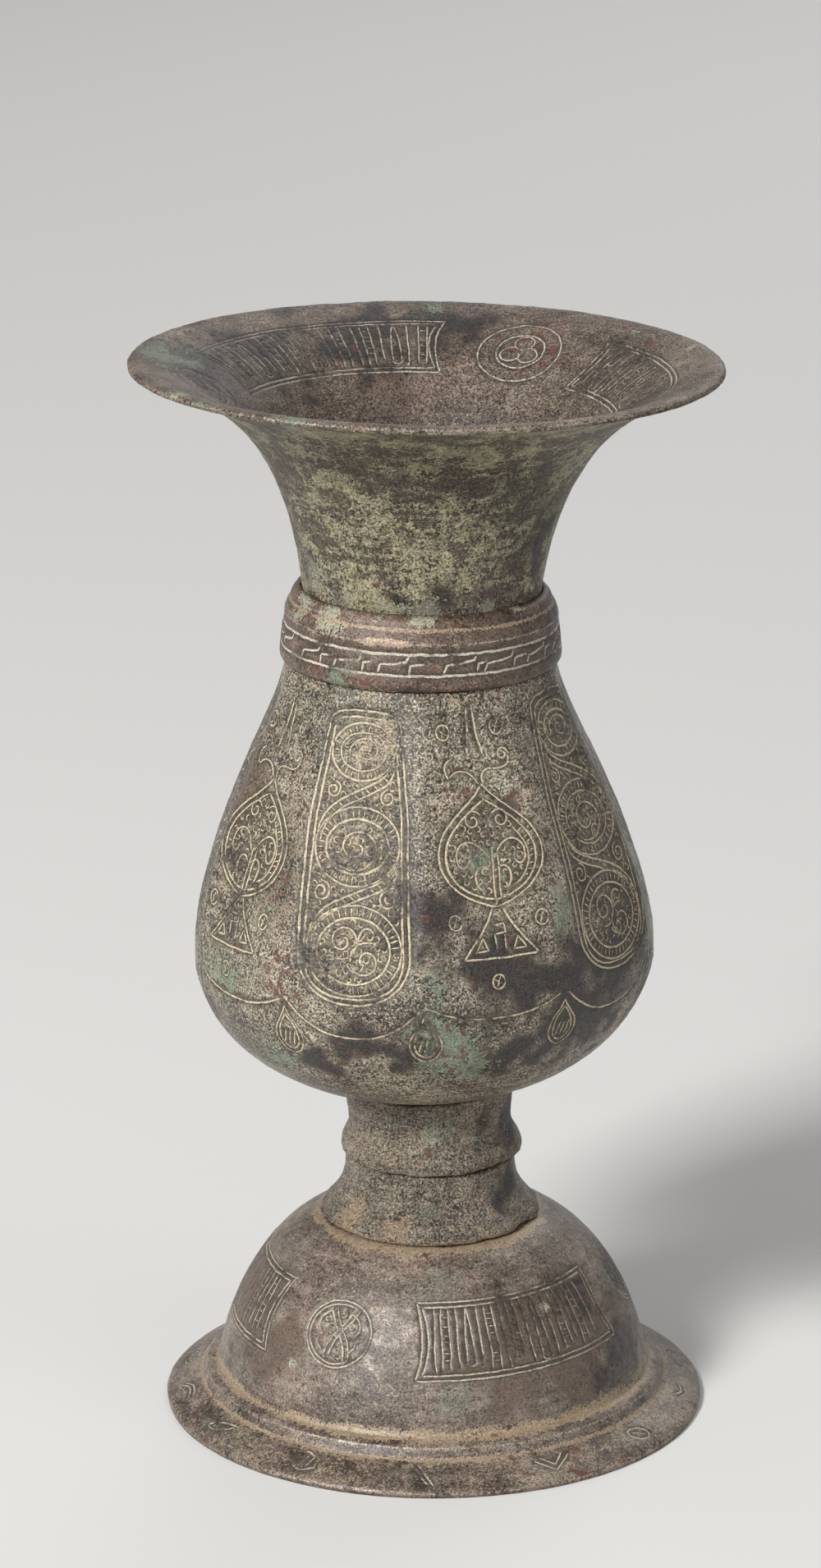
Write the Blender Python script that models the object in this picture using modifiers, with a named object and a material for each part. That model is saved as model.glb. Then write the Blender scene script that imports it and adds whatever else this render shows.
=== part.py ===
"""Bronze vase: a domed foot, a short knopped stem, a ten-sided pear body and a flared neck.

Six castings are stacked on the Z axis and soldered one into the next. The frame's origin is the
middle of the foot's resting face, +Z is up, and one soft corner of the body faces -Y.
"""

from math import acos, atan2, cos, hypot, pi, sin

import bpy
from mathutils import Vector
from mathutils.geometry import interpolate_bezier

# Fit and resolution
JOINT_GAP = 0.0003  # clearance left in every soldered seat
TURN_STEPS = 40  # sides of a turned piece, a multiple of FACETS

# Domed foot, from the table up to the seat of the stem
FOOT_HEIGHT = 0.0515
FOOT_RADIUS = 0.0712
FOOT_WALL = 0.0028
FLANGE_EDGE = 0.0016  # thickness of the flange at its rim
FLANGE_SLOPE = 0.0050  # rise of the flange from its rim to the ledge
FLANGE_WIDTH = 0.0105
LEDGE_STEP = 0.0024  # height of the raised ledge round the dome
LEDGE_WIDTH = 0.0032
RESTING_LAND = 0.0034  # width of the flat ring that stands on the table
CROWN_LAND = 0.0010  # flat of the dome's crown that shows outside the stem

# Stem base, a flared ring that stands on the dome
STEM_HEIGHT = 0.0168
STEM_FLARE_RADIUS = 0.0283
STEM_FLARE_EDGE = 0.0014
STEM_WAIST_RADIUS = 0.0221
FOOT_SPIGOT_LENGTH = 0.0048  # from the seat down through the crown of the dome
FOOT_SPIGOT_WALL = 0.0060
STEM_LEDGE = 0.0034  # width of the inner ledge that carries the stem solder

# Stem knop, a ring between the stem base and the body
KNOP_HEIGHT = 0.0200
KNOP_RADIUS = 0.0231
KNOP_NECK_RADIUS = 0.0211
KNOP_TOP_RADIUS = 0.0226

# Body
FACETS = 10
FACET_DEPTH = 0.0007  # how far a facet's middle lies inside the round belly
FACET_FLATNESS = 0.85  # half way up, where the corners are crispest: 1 is flat, 0 is round
FACET_END_FLATNESS = 0.42  # at the shoulder and at the belly line
BODY_WALL = 0.0030
BODY_HEIGHT = 0.1136  # from the knop to the shoulder
BELLY_RADIUS = 0.0602
BELLY_DEPTH = 0.0444  # from the belly line down to the bottom of the curve
BELLY_POWER = 2.2  # 2 is an ellipse, more is squarer
FACET_RISE = 0.0760  # from the shoulder down to the upright foot of a facet
TAIL_RADIUS = 0.0155  # spigot under the body, inside the stem
TAIL_WALL = 0.0032
TAIL_REACH = 0.0085  # how far the tail enters the stem base
SPIGOT_HEIGHT = 0.0093  # spigot above the shoulder, inside the collar
SPIGOT_WALL = 0.0026

# Neck collar
COLLAR_HEIGHT = 0.0176
COLLAR_OVERHANG = 0.0013  # how far the collar stands out from the shoulder
COLLAR_TAPER = 0.0017  # how much narrower the collar is at its top band
COLLAR_SHOULDER = 0.0026  # height of the rounded shoulder at the collar's top
BAND_GROOVE = 0.0004  # depth of the two grooves beside the meander band
LOWER_BAND = 0.0046
MEANDER_BAND = 0.0055

# Flared neck
NECK_RADIUS = 0.0306
NECK_WALL = 0.0024
NECK_TAIL = 0.0068  # length of neck hidden in the collar
NECK_HEIGHT = 0.0596  # from the collar's top to the lip
MOUTH_RADIUS = 0.0754
LIP_BEVEL = 0.0007
FLARE_START = 0.0265  # stretch above the collar that stays almost upright
FLARE_START_LEAN = 0.0028
FLARE_DROP = 0.0070  # drop of the flare's under side near the lip
FLARE_SHARE = 0.28  # where that drop lies, as a share of the flare's width

# Solder
SOLDER_THICKNESS = 0.0009
FOOT_FILLET = 0.0030

# Heights of the seats, stacked from the table
Z_STEM = FOOT_HEIGHT + JOINT_GAP
Z_KNOP = Z_STEM + STEM_HEIGHT + JOINT_GAP
Z_BODY = Z_KNOP + KNOP_HEIGHT + JOINT_GAP
Z_SHOULDER = Z_BODY + BODY_HEIGHT
Z_SPIGOT = Z_SHOULDER + SPIGOT_HEIGHT
Z_NECK_SOLDER = Z_SPIGOT + JOINT_GAP
Z_NECK = Z_NECK_SOLDER + SOLDER_THICKNESS + JOINT_GAP
Z_COLLAR = Z_SHOULDER + JOINT_GAP
Z_COLLAR_TOP = Z_COLLAR + COLLAR_HEIGHT
Z_MOUTH = Z_COLLAR_TOP + NECK_HEIGHT
Z_TAIL_END = Z_STEM + STEM_HEIGHT - TAIL_REACH
Z_STEM_LEDGE = Z_TAIL_END - 2 * JOINT_GAP - SOLDER_THICKNESS

# Radii that follow from the neighbour that they fit
SPIGOT_RADIUS = NECK_RADIUS + JOINT_GAP + NECK_WALL / 2
SHOULDER_RADIUS = SPIGOT_RADIUS + SPIGOT_WALL
COLLAR_RADIUS = SHOULDER_RADIUS + COLLAR_OVERHANG
STEM_BORE = TAIL_RADIUS + JOINT_GAP
FOOT_SPIGOT_RADIUS = STEM_BORE - STEM_LEDGE + FOOT_SPIGOT_WALL
CROWN_BORE = FOOT_SPIGOT_RADIUS + JOINT_GAP
FACET_RADIUS = BELLY_RADIUS - FACET_DEPTH
SEAT_ANGLE = acos((KNOP_TOP_RADIUS / BELLY_RADIUS) ** (BELLY_POWER / 2))
Z_BELLY = Z_BODY + BELLY_DEPTH * sin(SEAT_ANGLE) ** (2 / BELLY_POWER)


def clear_scene():
    """Removes every object that the file opened with."""
    for old in list(bpy.data.objects):
        bpy.data.objects.remove(old, do_unlink=True)


def make_collection(name):
    """A collection for the vase's pieces."""
    collection = bpy.data.collections.new(name)
    bpy.context.scene.collection.children.link(collection)
    return collection


def metal(name, colour, roughness, metallic):
    """A Principled BSDF in the photographed colour."""
    material = bpy.data.materials.new(name)
    material.use_nodes = True
    shader = material.node_tree.nodes["Principled BSDF"]
    shader.inputs["Base Color"].default_value = (*colour, 1.0)
    shader.inputs["Roughness"].default_value = roughness
    shader.inputs["Metallic"].default_value = metallic
    return material


def curve(start, start_handle, end_handle, end, count):
    """Points (radius, height) along one Bezier stretch of a profile."""
    handles = [Vector((r, z, 0.0)) for r, z in (start, start_handle, end_handle, end)]
    return [(p.x, p.y) for p in interpolate_bezier(*handles, count)]


def inset(profile, distance):
    """The inner face of a wall whose outer face is profile, given from top to bottom."""
    points = []
    for i, (r, z) in enumerate(profile):
        before = profile[max(i - 1, 0)]
        after = profile[min(i + 1, len(profile) - 1)]
        dr, dz = after[0] - before[0], after[1] - before[1]
        length = hypot(dr, dz)
        points.append((r + distance * dz / length, z - distance * dr / length))
    return points


def turned(name, profile, material, collection, closed=True):
    """A turned piece. The profile runs down the outer side and back up the inner one."""
    mesh = bpy.data.meshes.new(name + "_profile")
    count = len(profile)
    edges = [(i, i + 1) for i in range(count - 1)]
    if closed:
        edges.append((count - 1, 0))
    mesh.from_pydata([(0.0, -r, z) for r, z in profile], edges, [])
    lathe = bpy.data.objects.new(name + "_profile", mesh)
    bpy.context.scene.collection.objects.link(lathe)
    screw = lathe.modifiers.new("turn", "SCREW")
    screw.axis = "Z"
    screw.steps = screw.render_steps = TURN_STEPS
    screw.use_merge_vertices = True
    screw.merge_threshold = 0.000001
    depsgraph = bpy.context.evaluated_depsgraph_get()
    solid = bpy.data.meshes.new_from_object(lathe.evaluated_get(depsgraph))
    bpy.data.objects.remove(lathe)
    piece = bpy.data.objects.new(name, solid)
    solid.materials.clear()
    solid.materials.append(material)
    solid.shade_smooth()
    solid.set_sharp_from_angle(angle=pi / 6)
    collection.objects.link(piece)
    return piece


def foot_profile():
    """Dome, ledge and flange over a hollow that is open below."""
    rim = FOOT_RADIUS
    ledge_radius = rim - FLANGE_WIDTH
    flange_top = FLANGE_EDGE + FLANGE_SLOPE
    ledge_top = flange_top + LEDGE_STEP
    wall_radius = ledge_radius - LEDGE_WIDTH
    crown_radius = STEM_FLARE_RADIUS + CROWN_LAND
    crown_width = wall_radius - crown_radius
    dome_height = FOOT_HEIGHT - ledge_top
    dome = curve(
        (crown_radius, FOOT_HEIGHT),
        (crown_radius + 0.46 * crown_width, FOOT_HEIGHT - 0.12 * dome_height),
        (wall_radius - 0.16 * crown_width, ledge_top + 0.52 * dome_height),
        (wall_radius - 0.03 * crown_width, ledge_top + 0.07 * dome_height),
        9,
    )
    outside = [
        (CROWN_BORE, FOOT_HEIGHT),
        *dome,
        (wall_radius + 0.2 * LEDGE_WIDTH, ledge_top),
        (ledge_radius - 0.3 * LEDGE_WIDTH, ledge_top - 0.2 * LEDGE_STEP),
        (ledge_radius, ledge_top - 0.6 * LEDGE_STEP),
        (ledge_radius + 0.2 * LEDGE_WIDTH, flange_top),
        (rim - 0.5 * FLANGE_EDGE, 1.1 * FLANGE_EDGE),
        (rim, 0.6 * FLANGE_EDGE),
        (rim, 0.2 * FLANGE_EDGE),
    ]
    under_dome = inset(dome, FOOT_WALL)
    inside = [
        (rim - 0.2 * FLANGE_EDGE, 0.0),
        (rim - 0.2 * FLANGE_EDGE - RESTING_LAND, 0.0),
        (ledge_radius - 0.6 * LEDGE_WIDTH, flange_top - 0.6 * FOOT_WALL),
        *reversed(under_dome),
        (CROWN_BORE, FOOT_HEIGHT - FOOT_WALL),
    ]
    return outside + inside


def stem_base_profile():
    """Flared ring with a spigot below and an inner ledge for the solder."""
    top = Z_STEM + STEM_HEIGHT
    flare_top = Z_STEM + STEM_FLARE_EDGE
    spread = STEM_FLARE_RADIUS - STEM_WAIST_RADIUS
    rise = top - flare_top
    outside = [
        *curve(
            (STEM_WAIST_RADIUS + 0.02 * spread, top),
            (STEM_WAIST_RADIUS - 0.08 * spread, top - 0.45 * rise),
            (STEM_WAIST_RADIUS + 0.45 * spread, flare_top + 0.18 * rise),
            (STEM_FLARE_RADIUS, flare_top),
            7,
        ),
        (STEM_FLARE_RADIUS, Z_STEM),
        (FOOT_SPIGOT_RADIUS, Z_STEM),
        (FOOT_SPIGOT_RADIUS, Z_STEM - FOOT_SPIGOT_LENGTH),
    ]
    ledge_radius = STEM_BORE - STEM_LEDGE
    inside = [
        (ledge_radius, Z_STEM - FOOT_SPIGOT_LENGTH),
        (ledge_radius, Z_STEM_LEDGE),
        (STEM_BORE, Z_STEM_LEDGE),
        (STEM_BORE, top),
    ]
    return outside + inside


def knop_profile():
    """Bulged ring, sharp at its lower edge and flared under the body."""
    top = Z_KNOP + KNOP_HEIGHT
    bulge = Z_KNOP + 0.12 * KNOP_HEIGHT
    waist = Z_KNOP + 0.55 * KNOP_HEIGHT
    outside = [
        (KNOP_TOP_RADIUS, top),
        *curve(
            (KNOP_NECK_RADIUS + 0.25 * (KNOP_TOP_RADIUS - KNOP_NECK_RADIUS), top - 0.25 * KNOP_HEIGHT),
            (KNOP_NECK_RADIUS, waist + 0.1 * KNOP_HEIGHT),
            (KNOP_RADIUS, waist - 0.15 * KNOP_HEIGHT),
            (KNOP_RADIUS, bulge),
            5,
        ),
        (KNOP_RADIUS - 0.1 * (KNOP_RADIUS - STEM_WAIST_RADIUS), Z_KNOP),
    ]
    return outside + [(STEM_BORE, Z_KNOP), (STEM_BORE, top)]


def belly(angle, inset_by=0.0):
    """A point on the round bottom, from the belly line (0) towards the axis (pi / 2)."""
    power = 2 / BELLY_POWER
    radius = (BELLY_RADIUS - inset_by) * max(cos(angle), 0.0) ** power
    return radius, Z_BELLY - (BELLY_DEPTH - inset_by) * sin(angle) ** power


def facet_curve(count):
    """The upright line down the middle of a facet, from the shoulder to the belly."""
    foot = Z_SHOULDER - FACET_RISE
    spread = FACET_RADIUS - SHOULDER_RADIUS
    return curve(
        (SHOULDER_RADIUS, Z_SHOULDER),
        (SHOULDER_RADIUS + 0.06 * spread, Z_SHOULDER - 0.185 * FACET_RISE),
        (FACET_RADIUS, foot + 0.315 * FACET_RISE),
        (FACET_RADIUS, foot),
        count,
    )


def body_profile():
    """Pear with a closed floor, an upper spigot for the collar and a tail for the stem."""
    round_steps, floor_steps = 9, 6
    upper = facet_curve(11)
    lower = [belly(SEAT_ANGLE * i / round_steps) for i in range(1, round_steps + 1)]
    lower = [(min(r, FACET_RADIUS), z) for r, z in lower if z < upper[-1][1]]
    floor = [belly(pi / 2 * i / floor_steps, FACET_DEPTH + BODY_WALL) for i in range(1, floor_steps)]
    floor_pole = Z_BELLY - BELLY_DEPTH + FACET_DEPTH + BODY_WALL
    spigot_bore = SPIGOT_RADIUS - SPIGOT_WALL
    wall = [p for p in inset(upper, BODY_WALL)[1::2] if p[1] > floor[0][1] and p[0] > spigot_bore]
    tail_bore = TAIL_RADIUS - TAIL_WALL
    return [
        (0.0, floor_pole),
        *reversed(floor),
        *reversed(wall),
        (spigot_bore, Z_SHOULDER - BODY_WALL),
        (spigot_bore, Z_SPIGOT),
        (SPIGOT_RADIUS, Z_SPIGOT),
        (SPIGOT_RADIUS, Z_SHOULDER),
        *upper,
        *lower,
        (TAIL_RADIUS, Z_BODY),
        (TAIL_RADIUS, Z_TAIL_END),
        (tail_bore, Z_TAIL_END),
        (tail_bore, Z_BODY - BODY_WALL),
        (0.0, Z_BODY - BODY_WALL),
    ]


def radius_at(profile, height):
    """Radius of a falling profile at a height."""
    if height <= profile[-1][1]:
        return profile[-1][0]
    for (r0, z0), (r1, z1) in zip(profile, profile[1:]):
        if z1 <= height <= z0:
            return r0 + (r1 - r0) * (z0 - height) / (z0 - z1)
    return profile[0][0]


def round_radius_at(height):
    """Radius of the round belly, before its facets, at a height."""
    drop = max(Z_BELLY - height, 0.0) / BELLY_DEPTH
    return BELLY_RADIUS * max(1.0 - drop**BELLY_POWER, 0.0) ** (1 / BELLY_POWER)


def flatness_at(height):
    """How flat a facet is at a height between the belly line and the shoulder."""
    share = min(max((height - Z_BELLY) / (Z_SHOULDER - Z_BELLY), 0.0), 1.0)
    return FACET_END_FLATNESS + (FACET_FLATNESS - FACET_END_FLATNESS) * sin(pi * share)


def draw_out_corners(body):
    """Draws soft corners out of the turned body, which die out in scallops on the belly."""
    facet_line = facet_curve(60)
    pitch = 2 * pi / FACETS
    for vertex in body.data.vertices:
        x, y, z = vertex.co
        radius = hypot(x, y)
        flat = radius_at(facet_line, z)
        round_radius = round_radius_at(z)
        between = Z_BODY + JOINT_GAP < z < Z_SHOULDER + JOINT_GAP
        if not between or radius < min(flat, round_radius) - BODY_WALL / 2:
            continue
        from_middle = (atan2(x, -y) % pitch) - pitch / 2
        crowned = flat * (1 + flatness_at(z) * (1 / cos(from_middle) - 1))
        stretch = min(round_radius, crowned) / radius
        vertex.co.x = x * stretch
        vertex.co.y = y * stretch


def collar_profile():
    """Sleeve over the joint of body and neck, with a raised band between two grooves."""
    top_radius = COLLAR_RADIUS - COLLAR_TAPER
    shoulder = Z_COLLAR_TOP - COLLAR_SHOULDER
    band_low = Z_COLLAR + LOWER_BAND
    band_high = band_low + MEANDER_BAND
    groove = 2 * BAND_GROOVE
    middle_radius = COLLAR_RADIUS - 0.4 * COLLAR_TAPER
    neck_bore = NECK_RADIUS + JOINT_GAP
    outside = [
        (neck_bore, Z_COLLAR_TOP),
        (neck_bore + 0.55 * (top_radius - neck_bore), Z_COLLAR_TOP - 0.2 * COLLAR_SHOULDER),
        (top_radius, shoulder),
        (middle_radius, band_high + groove),
        (middle_radius - BAND_GROOVE, band_high + 0.5 * groove),
        (middle_radius, band_high),
        (COLLAR_RADIUS, band_low + groove),
        (COLLAR_RADIUS - BAND_GROOVE, band_low + 0.5 * groove),
        (COLLAR_RADIUS, band_low),
        (COLLAR_RADIUS, Z_COLLAR + 0.15 * LOWER_BAND),
        (COLLAR_RADIUS - 0.3 * COLLAR_OVERHANG, Z_COLLAR),
    ]
    spigot_bore = SPIGOT_RADIUS + JOINT_GAP
    return outside + [(spigot_bore, Z_COLLAR), (spigot_bore, Z_NECK), (neck_bore, Z_NECK)]


def neck_profile():
    """Trumpet with a plain tail below and a thin bevelled lip above."""
    width = MOUTH_RADIUS - NECK_RADIUS
    under = curve(
        (MOUTH_RADIUS - LIP_BEVEL, Z_MOUTH - 0.75 * NECK_WALL),
        (NECK_RADIUS + FLARE_SHARE * width, Z_MOUTH - 0.75 * NECK_WALL - FLARE_DROP),
        (NECK_RADIUS + FLARE_START_LEAN, Z_COLLAR_TOP + FLARE_START),
        (NECK_RADIUS, Z_COLLAR_TOP),
        15,
    )
    tail = Z_COLLAR_TOP - NECK_TAIL + JOINT_GAP
    tail = max(tail, Z_NECK)
    inside = [p for p in inset(under, NECK_WALL) if p[1] < Z_MOUTH - 0.2 * NECK_WALL]
    return [
        (MOUTH_RADIUS - LIP_BEVEL, Z_MOUTH),
        (MOUTH_RADIUS, Z_MOUTH - 0.3 * NECK_WALL),
        *under,
        (NECK_RADIUS, tail),
        (NECK_RADIUS - NECK_WALL, tail),
        *reversed(inside),
    ]


def ring_profile(inner, outer, low, high):
    """A plain ring of solder."""
    return [(outer, high), (outer, low), (inner, low), (inner, high)]


def foot_solder_profile():
    """Fillet of solder under the crown, round the stem's spigot."""
    high = FOOT_HEIGHT - FOOT_WALL - JOINT_GAP
    low = max(high - 0.5 * FOOT_FILLET, Z_STEM - FOOT_SPIGOT_LENGTH)
    return [(CROWN_BORE + FOOT_FILLET, high), (CROWN_BORE, low), (CROWN_BORE, high)]


def build():
    """Makes the nine pieces of the vase."""
    clear_scene()
    vase = make_collection("bronze_vase")
    bronze = metal("bronze", (0.25, 0.21, 0.165), 0.6, 0.2)
    worn_bronze = metal("worn_bronze", (0.215, 0.165, 0.13), 0.55, 0.3)
    green_bronze = metal("green_bronze", (0.235, 0.21, 0.145), 0.7, 0.2)
    solder = metal("solder", (0.33, 0.34, 0.32), 0.7, 0.6)

    turned("domed_foot", foot_profile(), bronze, vase)
    turned("stem_base", stem_base_profile(), bronze, vase)
    turned("stem_knop", knop_profile(), bronze, vase)
    body = turned("faceted_body", body_profile(), bronze, vase, closed=False)
    draw_out_corners(body)
    turned("neck_collar", collar_profile(), worn_bronze, vase)
    turned("flared_neck", neck_profile(), green_bronze, vase)

    neck_bore = NECK_RADIUS - NECK_WALL
    neck_ring = ring_profile(neck_bore, SPIGOT_RADIUS, Z_NECK_SOLDER, Z_NECK_SOLDER + SOLDER_THICKNESS)
    turned("neck_solder", neck_ring, solder, vase)
    stem_low = Z_STEM_LEDGE + JOINT_GAP
    stem_ring = ring_profile(STEM_BORE - STEM_LEDGE, TAIL_RADIUS, stem_low, stem_low + SOLDER_THICKNESS)
    turned("stem_solder", stem_ring, solder, vase)
    turned("foot_solder", foot_solder_profile(), solder, vase)


build()
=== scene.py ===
import random
from math import cos, hypot, pi, radians, sin

import bmesh
import bpy
import numpy as np
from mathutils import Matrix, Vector, kdtree, noise
from mathutils.geometry import delaunay_2d_cdt, interpolate_bezier


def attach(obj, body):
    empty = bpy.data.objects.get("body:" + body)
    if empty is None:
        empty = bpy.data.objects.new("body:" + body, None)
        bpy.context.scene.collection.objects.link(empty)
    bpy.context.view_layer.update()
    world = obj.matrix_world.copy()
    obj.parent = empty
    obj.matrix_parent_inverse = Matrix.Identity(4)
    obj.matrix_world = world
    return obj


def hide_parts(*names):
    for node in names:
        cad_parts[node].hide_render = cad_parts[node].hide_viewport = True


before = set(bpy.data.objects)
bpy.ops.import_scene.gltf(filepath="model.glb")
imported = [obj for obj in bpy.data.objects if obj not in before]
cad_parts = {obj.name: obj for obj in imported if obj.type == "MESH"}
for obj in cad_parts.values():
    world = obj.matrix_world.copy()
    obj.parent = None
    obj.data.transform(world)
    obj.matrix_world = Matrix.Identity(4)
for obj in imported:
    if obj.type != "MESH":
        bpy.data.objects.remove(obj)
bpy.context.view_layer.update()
bpy.ops.object.select_all(action="DESELECT")

# DOMED FOOT
# A hollow bronze dome on a stepped ledge and a wide sloping flange, cast in one and open below.
# It is engraved with reeded panels, roundels and small marks, and the cuts hold a pale paste.
# Old earth is caught in the corner of the ledge and round the stem.

MM = 0.001


def bend(start, start_handle, end_handle, end, count=16):
    """Points in mm along one curved stretch of a profile or of a cut."""
    handles = [Vector((*p, 0.0)) for p in (start, start_handle, end_handle, end)]
    return [(p.x, p.y) for p in interpolate_bezier(*handles, count)]


def inner_face(profile, wall):
    """The inner face of a cast wall whose outer face runs from top to bottom."""
    points = np.array(profile)
    run = np.gradient(points, axis=0)
    length = np.hypot(run[:, 0], run[:, 1])
    inner = points + wall * np.stack((run[:, 1], -run[:, 0]), axis=1) / length[:, None]
    return [tuple(p) for p in inner]


# The castings were soldered a little out of line: heights in mm, and how far the axis strays there.
LEAN_HEIGHTS = np.array([0.0, 6.0, 36.0, 55.0, 74.0, 100.0, 126.0, 165.0, 208.0, 222.0, 246.0, 280.0])
LEAN_SHIFTS = np.array([1.2, 1.2, 0.1, -0.1, 0.25, -0.6, -1.65, -2.3, -2.55, -2.2, -1.7, -0.95])


def stray(height):
    """The smoothed stray of the axis at a height."""
    return sum(np.interp(height + k * 4.7, LEAN_HEIGHTS, LEAN_SHIFTS) for k in range(-3, 4)) / 7


def lean(points):
    """Carries points in mm from the true axis to the strayed one."""
    height = points[:, 2]
    slope = (stray(height + 8) - stray(height - 8)) / 16 * np.clip((height - 8) / 30, 0, 1)
    moved = points.copy()
    moved[:, 0] += stray(height)
    moved[:, 2] -= points[:, 0] * slope
    moved[:, 2] = np.maximum(moved[:, 2], 0.0)
    return moved


class Wall:
    """A turned wall, unrolled into the angle round the axis and the way along its profile, in mm."""

    def __init__(self, profile, closed=True, seam=-180.0):
        line = np.array(list(profile) + ([profile[0]] if closed else []))
        steps = np.hypot(*np.diff(line, axis=0).T)
        self.ways = np.concatenate(([0.0], np.cumsum(steps)))
        self.radii, self.heights = line.T
        self.length = self.ways[-1]
        self.seam = radians(seam)
        self.corners = None

    def radius_at(self, way):
        return np.interp(way, self.ways, self.radii)

    def height_at(self, way):
        return np.interp(way, self.ways, self.heights)

    def points_at(self, angle, way):
        radius, height = self.radius_at(way), self.height_at(way)
        if self.corners:
            radius = radius * self.corners(angle, height, way)
        return np.stack((radius * np.sin(angle), -radius * np.cos(angle), height), axis=1)

    def way_to(self, radius, height):
        """The way along the profile to the place nearest to a radius and a height."""
        way = np.linspace(0, self.length, 6000)
        return float(way[np.argmin(np.hypot(self.radius_at(way) - radius, self.height_at(way) - height))])


# Points along a cut are about this many mm apart, and a hand trembles about this often in a mm.
CUT_STEP, TREMOR_PACE = 0.75, 0.45


class Graver:
    """Cuts lines into a wall. A drawing is in mm round a place on the wall, with y up."""

    def __init__(self, wall, seed):
        self.wall = wall
        self.hand = random.Random(seed)
        self.cuts = []

    def set_at(self, angle, way, turn=0.0, fan=False):
        """Starts a drawing. A fan spreads with the wall's radius, and any other drawing keeps its size."""
        self.angle, self.way, self.turn = radians(angle), way, radians(turn)
        self.fan = float(self.wall.radius_at(way)) if fan else None
        self.way_of, self.shift, self.drawn = None, (0.0, 0.0), []

    def set_on_side(self, angle, way_of, shift=(0.0, 0.0)):
        """Starts a drawing whose y is the height itself."""
        self.set_at(angle, 0.0)
        self.way_of, self.shift = way_of, shift

    def line(self, points, width=0.66, closed=False, tremor=0.07):
        """One cut along points, with the tremor of a hand."""
        path = [Vector(p) for p in points]
        if closed:
            path.append(path[0])
        dense = [path[0]]
        for a, b in zip(path, path[1:]):
            parts = max(1, round((b - a).length / CUT_STEP))
            dense += [a.lerp(b, i / parts) for i in range(1, parts + 1)]
        self.drawn += dense
        offset = Vector((0, 0, self.hand.uniform(0, 100)))
        across, along = cos(self.turn), sin(self.turn)
        angles, ways = [], []
        for p in dense:
            at = p.to_3d() * TREMOR_PACE + offset
            x = p.x + self.shift[0] + tremor * 2 * noise.noise(at)
            y = p.y + self.shift[1] + tremor * 2 * noise.noise(at + Vector((0, 0, 50)))
            x, y = x * across - y * along, x * along + y * across
            way = float(self.way_of(y)) if self.way_of else self.way - y
            angles.append(self.angle + x / (self.fan or max(float(self.wall.radius_at(way)), 1.0)))
            ways.append(way)
        if closed:
            angles[-1], ways[-1] = angles[0], ways[0]
        half = width / 2 * self.hand.uniform(0.79, 1.07)
        self.cuts.append((np.array(angles), np.array(ways), half))

    def commas(self, inside, low, high, gap=1.1, tries=1500):
        """Fills what is left of a field with small curled cuts."""
        near = kdtree.KDTree(len(self.drawn) + tries)
        for i, p in enumerate(self.drawn):
            near.insert(p.to_3d(), i)
        near.balance()
        placed = []
        for _ in range(tries):
            x, y = self.hand.uniform(low[0], high[0]), self.hand.uniform(low[1], high[1])
            if not inside(x, y) or near.find((x, y, 0))[2] < gap:
                continue
            if any(hypot(x - a, y - b) < 1.9 * gap for a, b in placed):
                continue
            placed.append((x, y))
            start = self.hand.uniform(0, 360)
            bow = self.hand.uniform(0.55, 0.85) * gap / 1.1
            self.line(arc(x, y, bow, start, start + self.hand.uniform(150, 250), steps=4), 0.5, tremor=0.03)

    def ribbons(self):
        """Left, middle and right edge of every cut on the unrolled wall, and its half widths."""
        start, margin = self.wall.seam, 0.004
        for angles, ways, half in self.cuts:
            angles = np.mod(angles - start, 2 * pi) + start
            breaks = np.nonzero(np.abs(np.diff(angles)) > pi)[0] + 1
            for turn, way in zip(np.split(angles, breaks), np.split(ways, breaks)):
                if len(turn) < 2:
                    continue
                radius = np.maximum(self.wall.radius_at(way), 1.0)
                across, along = np.gradient(turn) * radius, np.gradient(way)
                size = np.maximum(np.hypot(across, along), 1e-6)
                widths = np.full(len(turn), half)
                if hypot((turn[0] - turn[-1]) * radius[0], way[0] - way[-1]) > 0.1:
                    widths[0] = widths[-1] = 0.4 * half
                side_turn, side_way = -along / size * widths / radius, across / size * widths
                edges = []
                for side in (1, 0, -1):
                    edge = np.clip(turn + side * side_turn, start + margin, start + 2 * pi - margin)
                    edges.append((edge, way + side * side_way))
                yield edges, widths


def arc(x, y, radius, start, end, tall=1.0, steps=None):
    """Points on an arc in degrees, anticlockwise from +x."""
    steps = steps or max(8, int(abs(end - start) / 14 * max(1.0, radius / 5)))
    turn = [radians(start + (end - start) * i / steps) for i in range(steps + 1)]
    return [(x + radius * cos(t), y + radius * tall * sin(t)) for t in turn]


def ticks(graver, outer, inner, step, width=0.52):
    """Short cross cuts between two lines, as on a hatched band."""
    outer, inner = np.array(outer), np.array(inner)
    travel = np.concatenate(([0.0], np.cumsum(np.hypot(*np.diff(outer, axis=0).T))))
    share = travel / travel[-1]
    share_in = np.linspace(0, 1, len(inner))
    count = max(2, int(travel[-1] / step))
    for i in range(1, count):
        at = (i + graver.hand.uniform(-0.18, 0.18)) / count
        a = Vector((np.interp(at, share, outer[:, 0]), np.interp(at, share, outer[:, 1])))
        b = Vector((np.interp(at, share_in, inner[:, 0]), np.interp(at, share_in, inner[:, 1])))
        near, far = graver.hand.uniform(0.14, 0.22), graver.hand.uniform(0.78, 0.9)
        graver.line([a.lerp(b, near), a.lerp(b, far)], width, tremor=0.02)


# Depth of a cut in mm, and the widths in mm of the waves, lumps and grains in a cast skin and of the
# drifts that make the edges of stains ragged.
CUT_DEPTH = 0.26
SKIN_WAVE, SKIN_LUMP, SKIN_GRAIN = 34, 8.5, 2.3
BROAD_DRIFT, FINE_DRIFT = 13, 5


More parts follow.
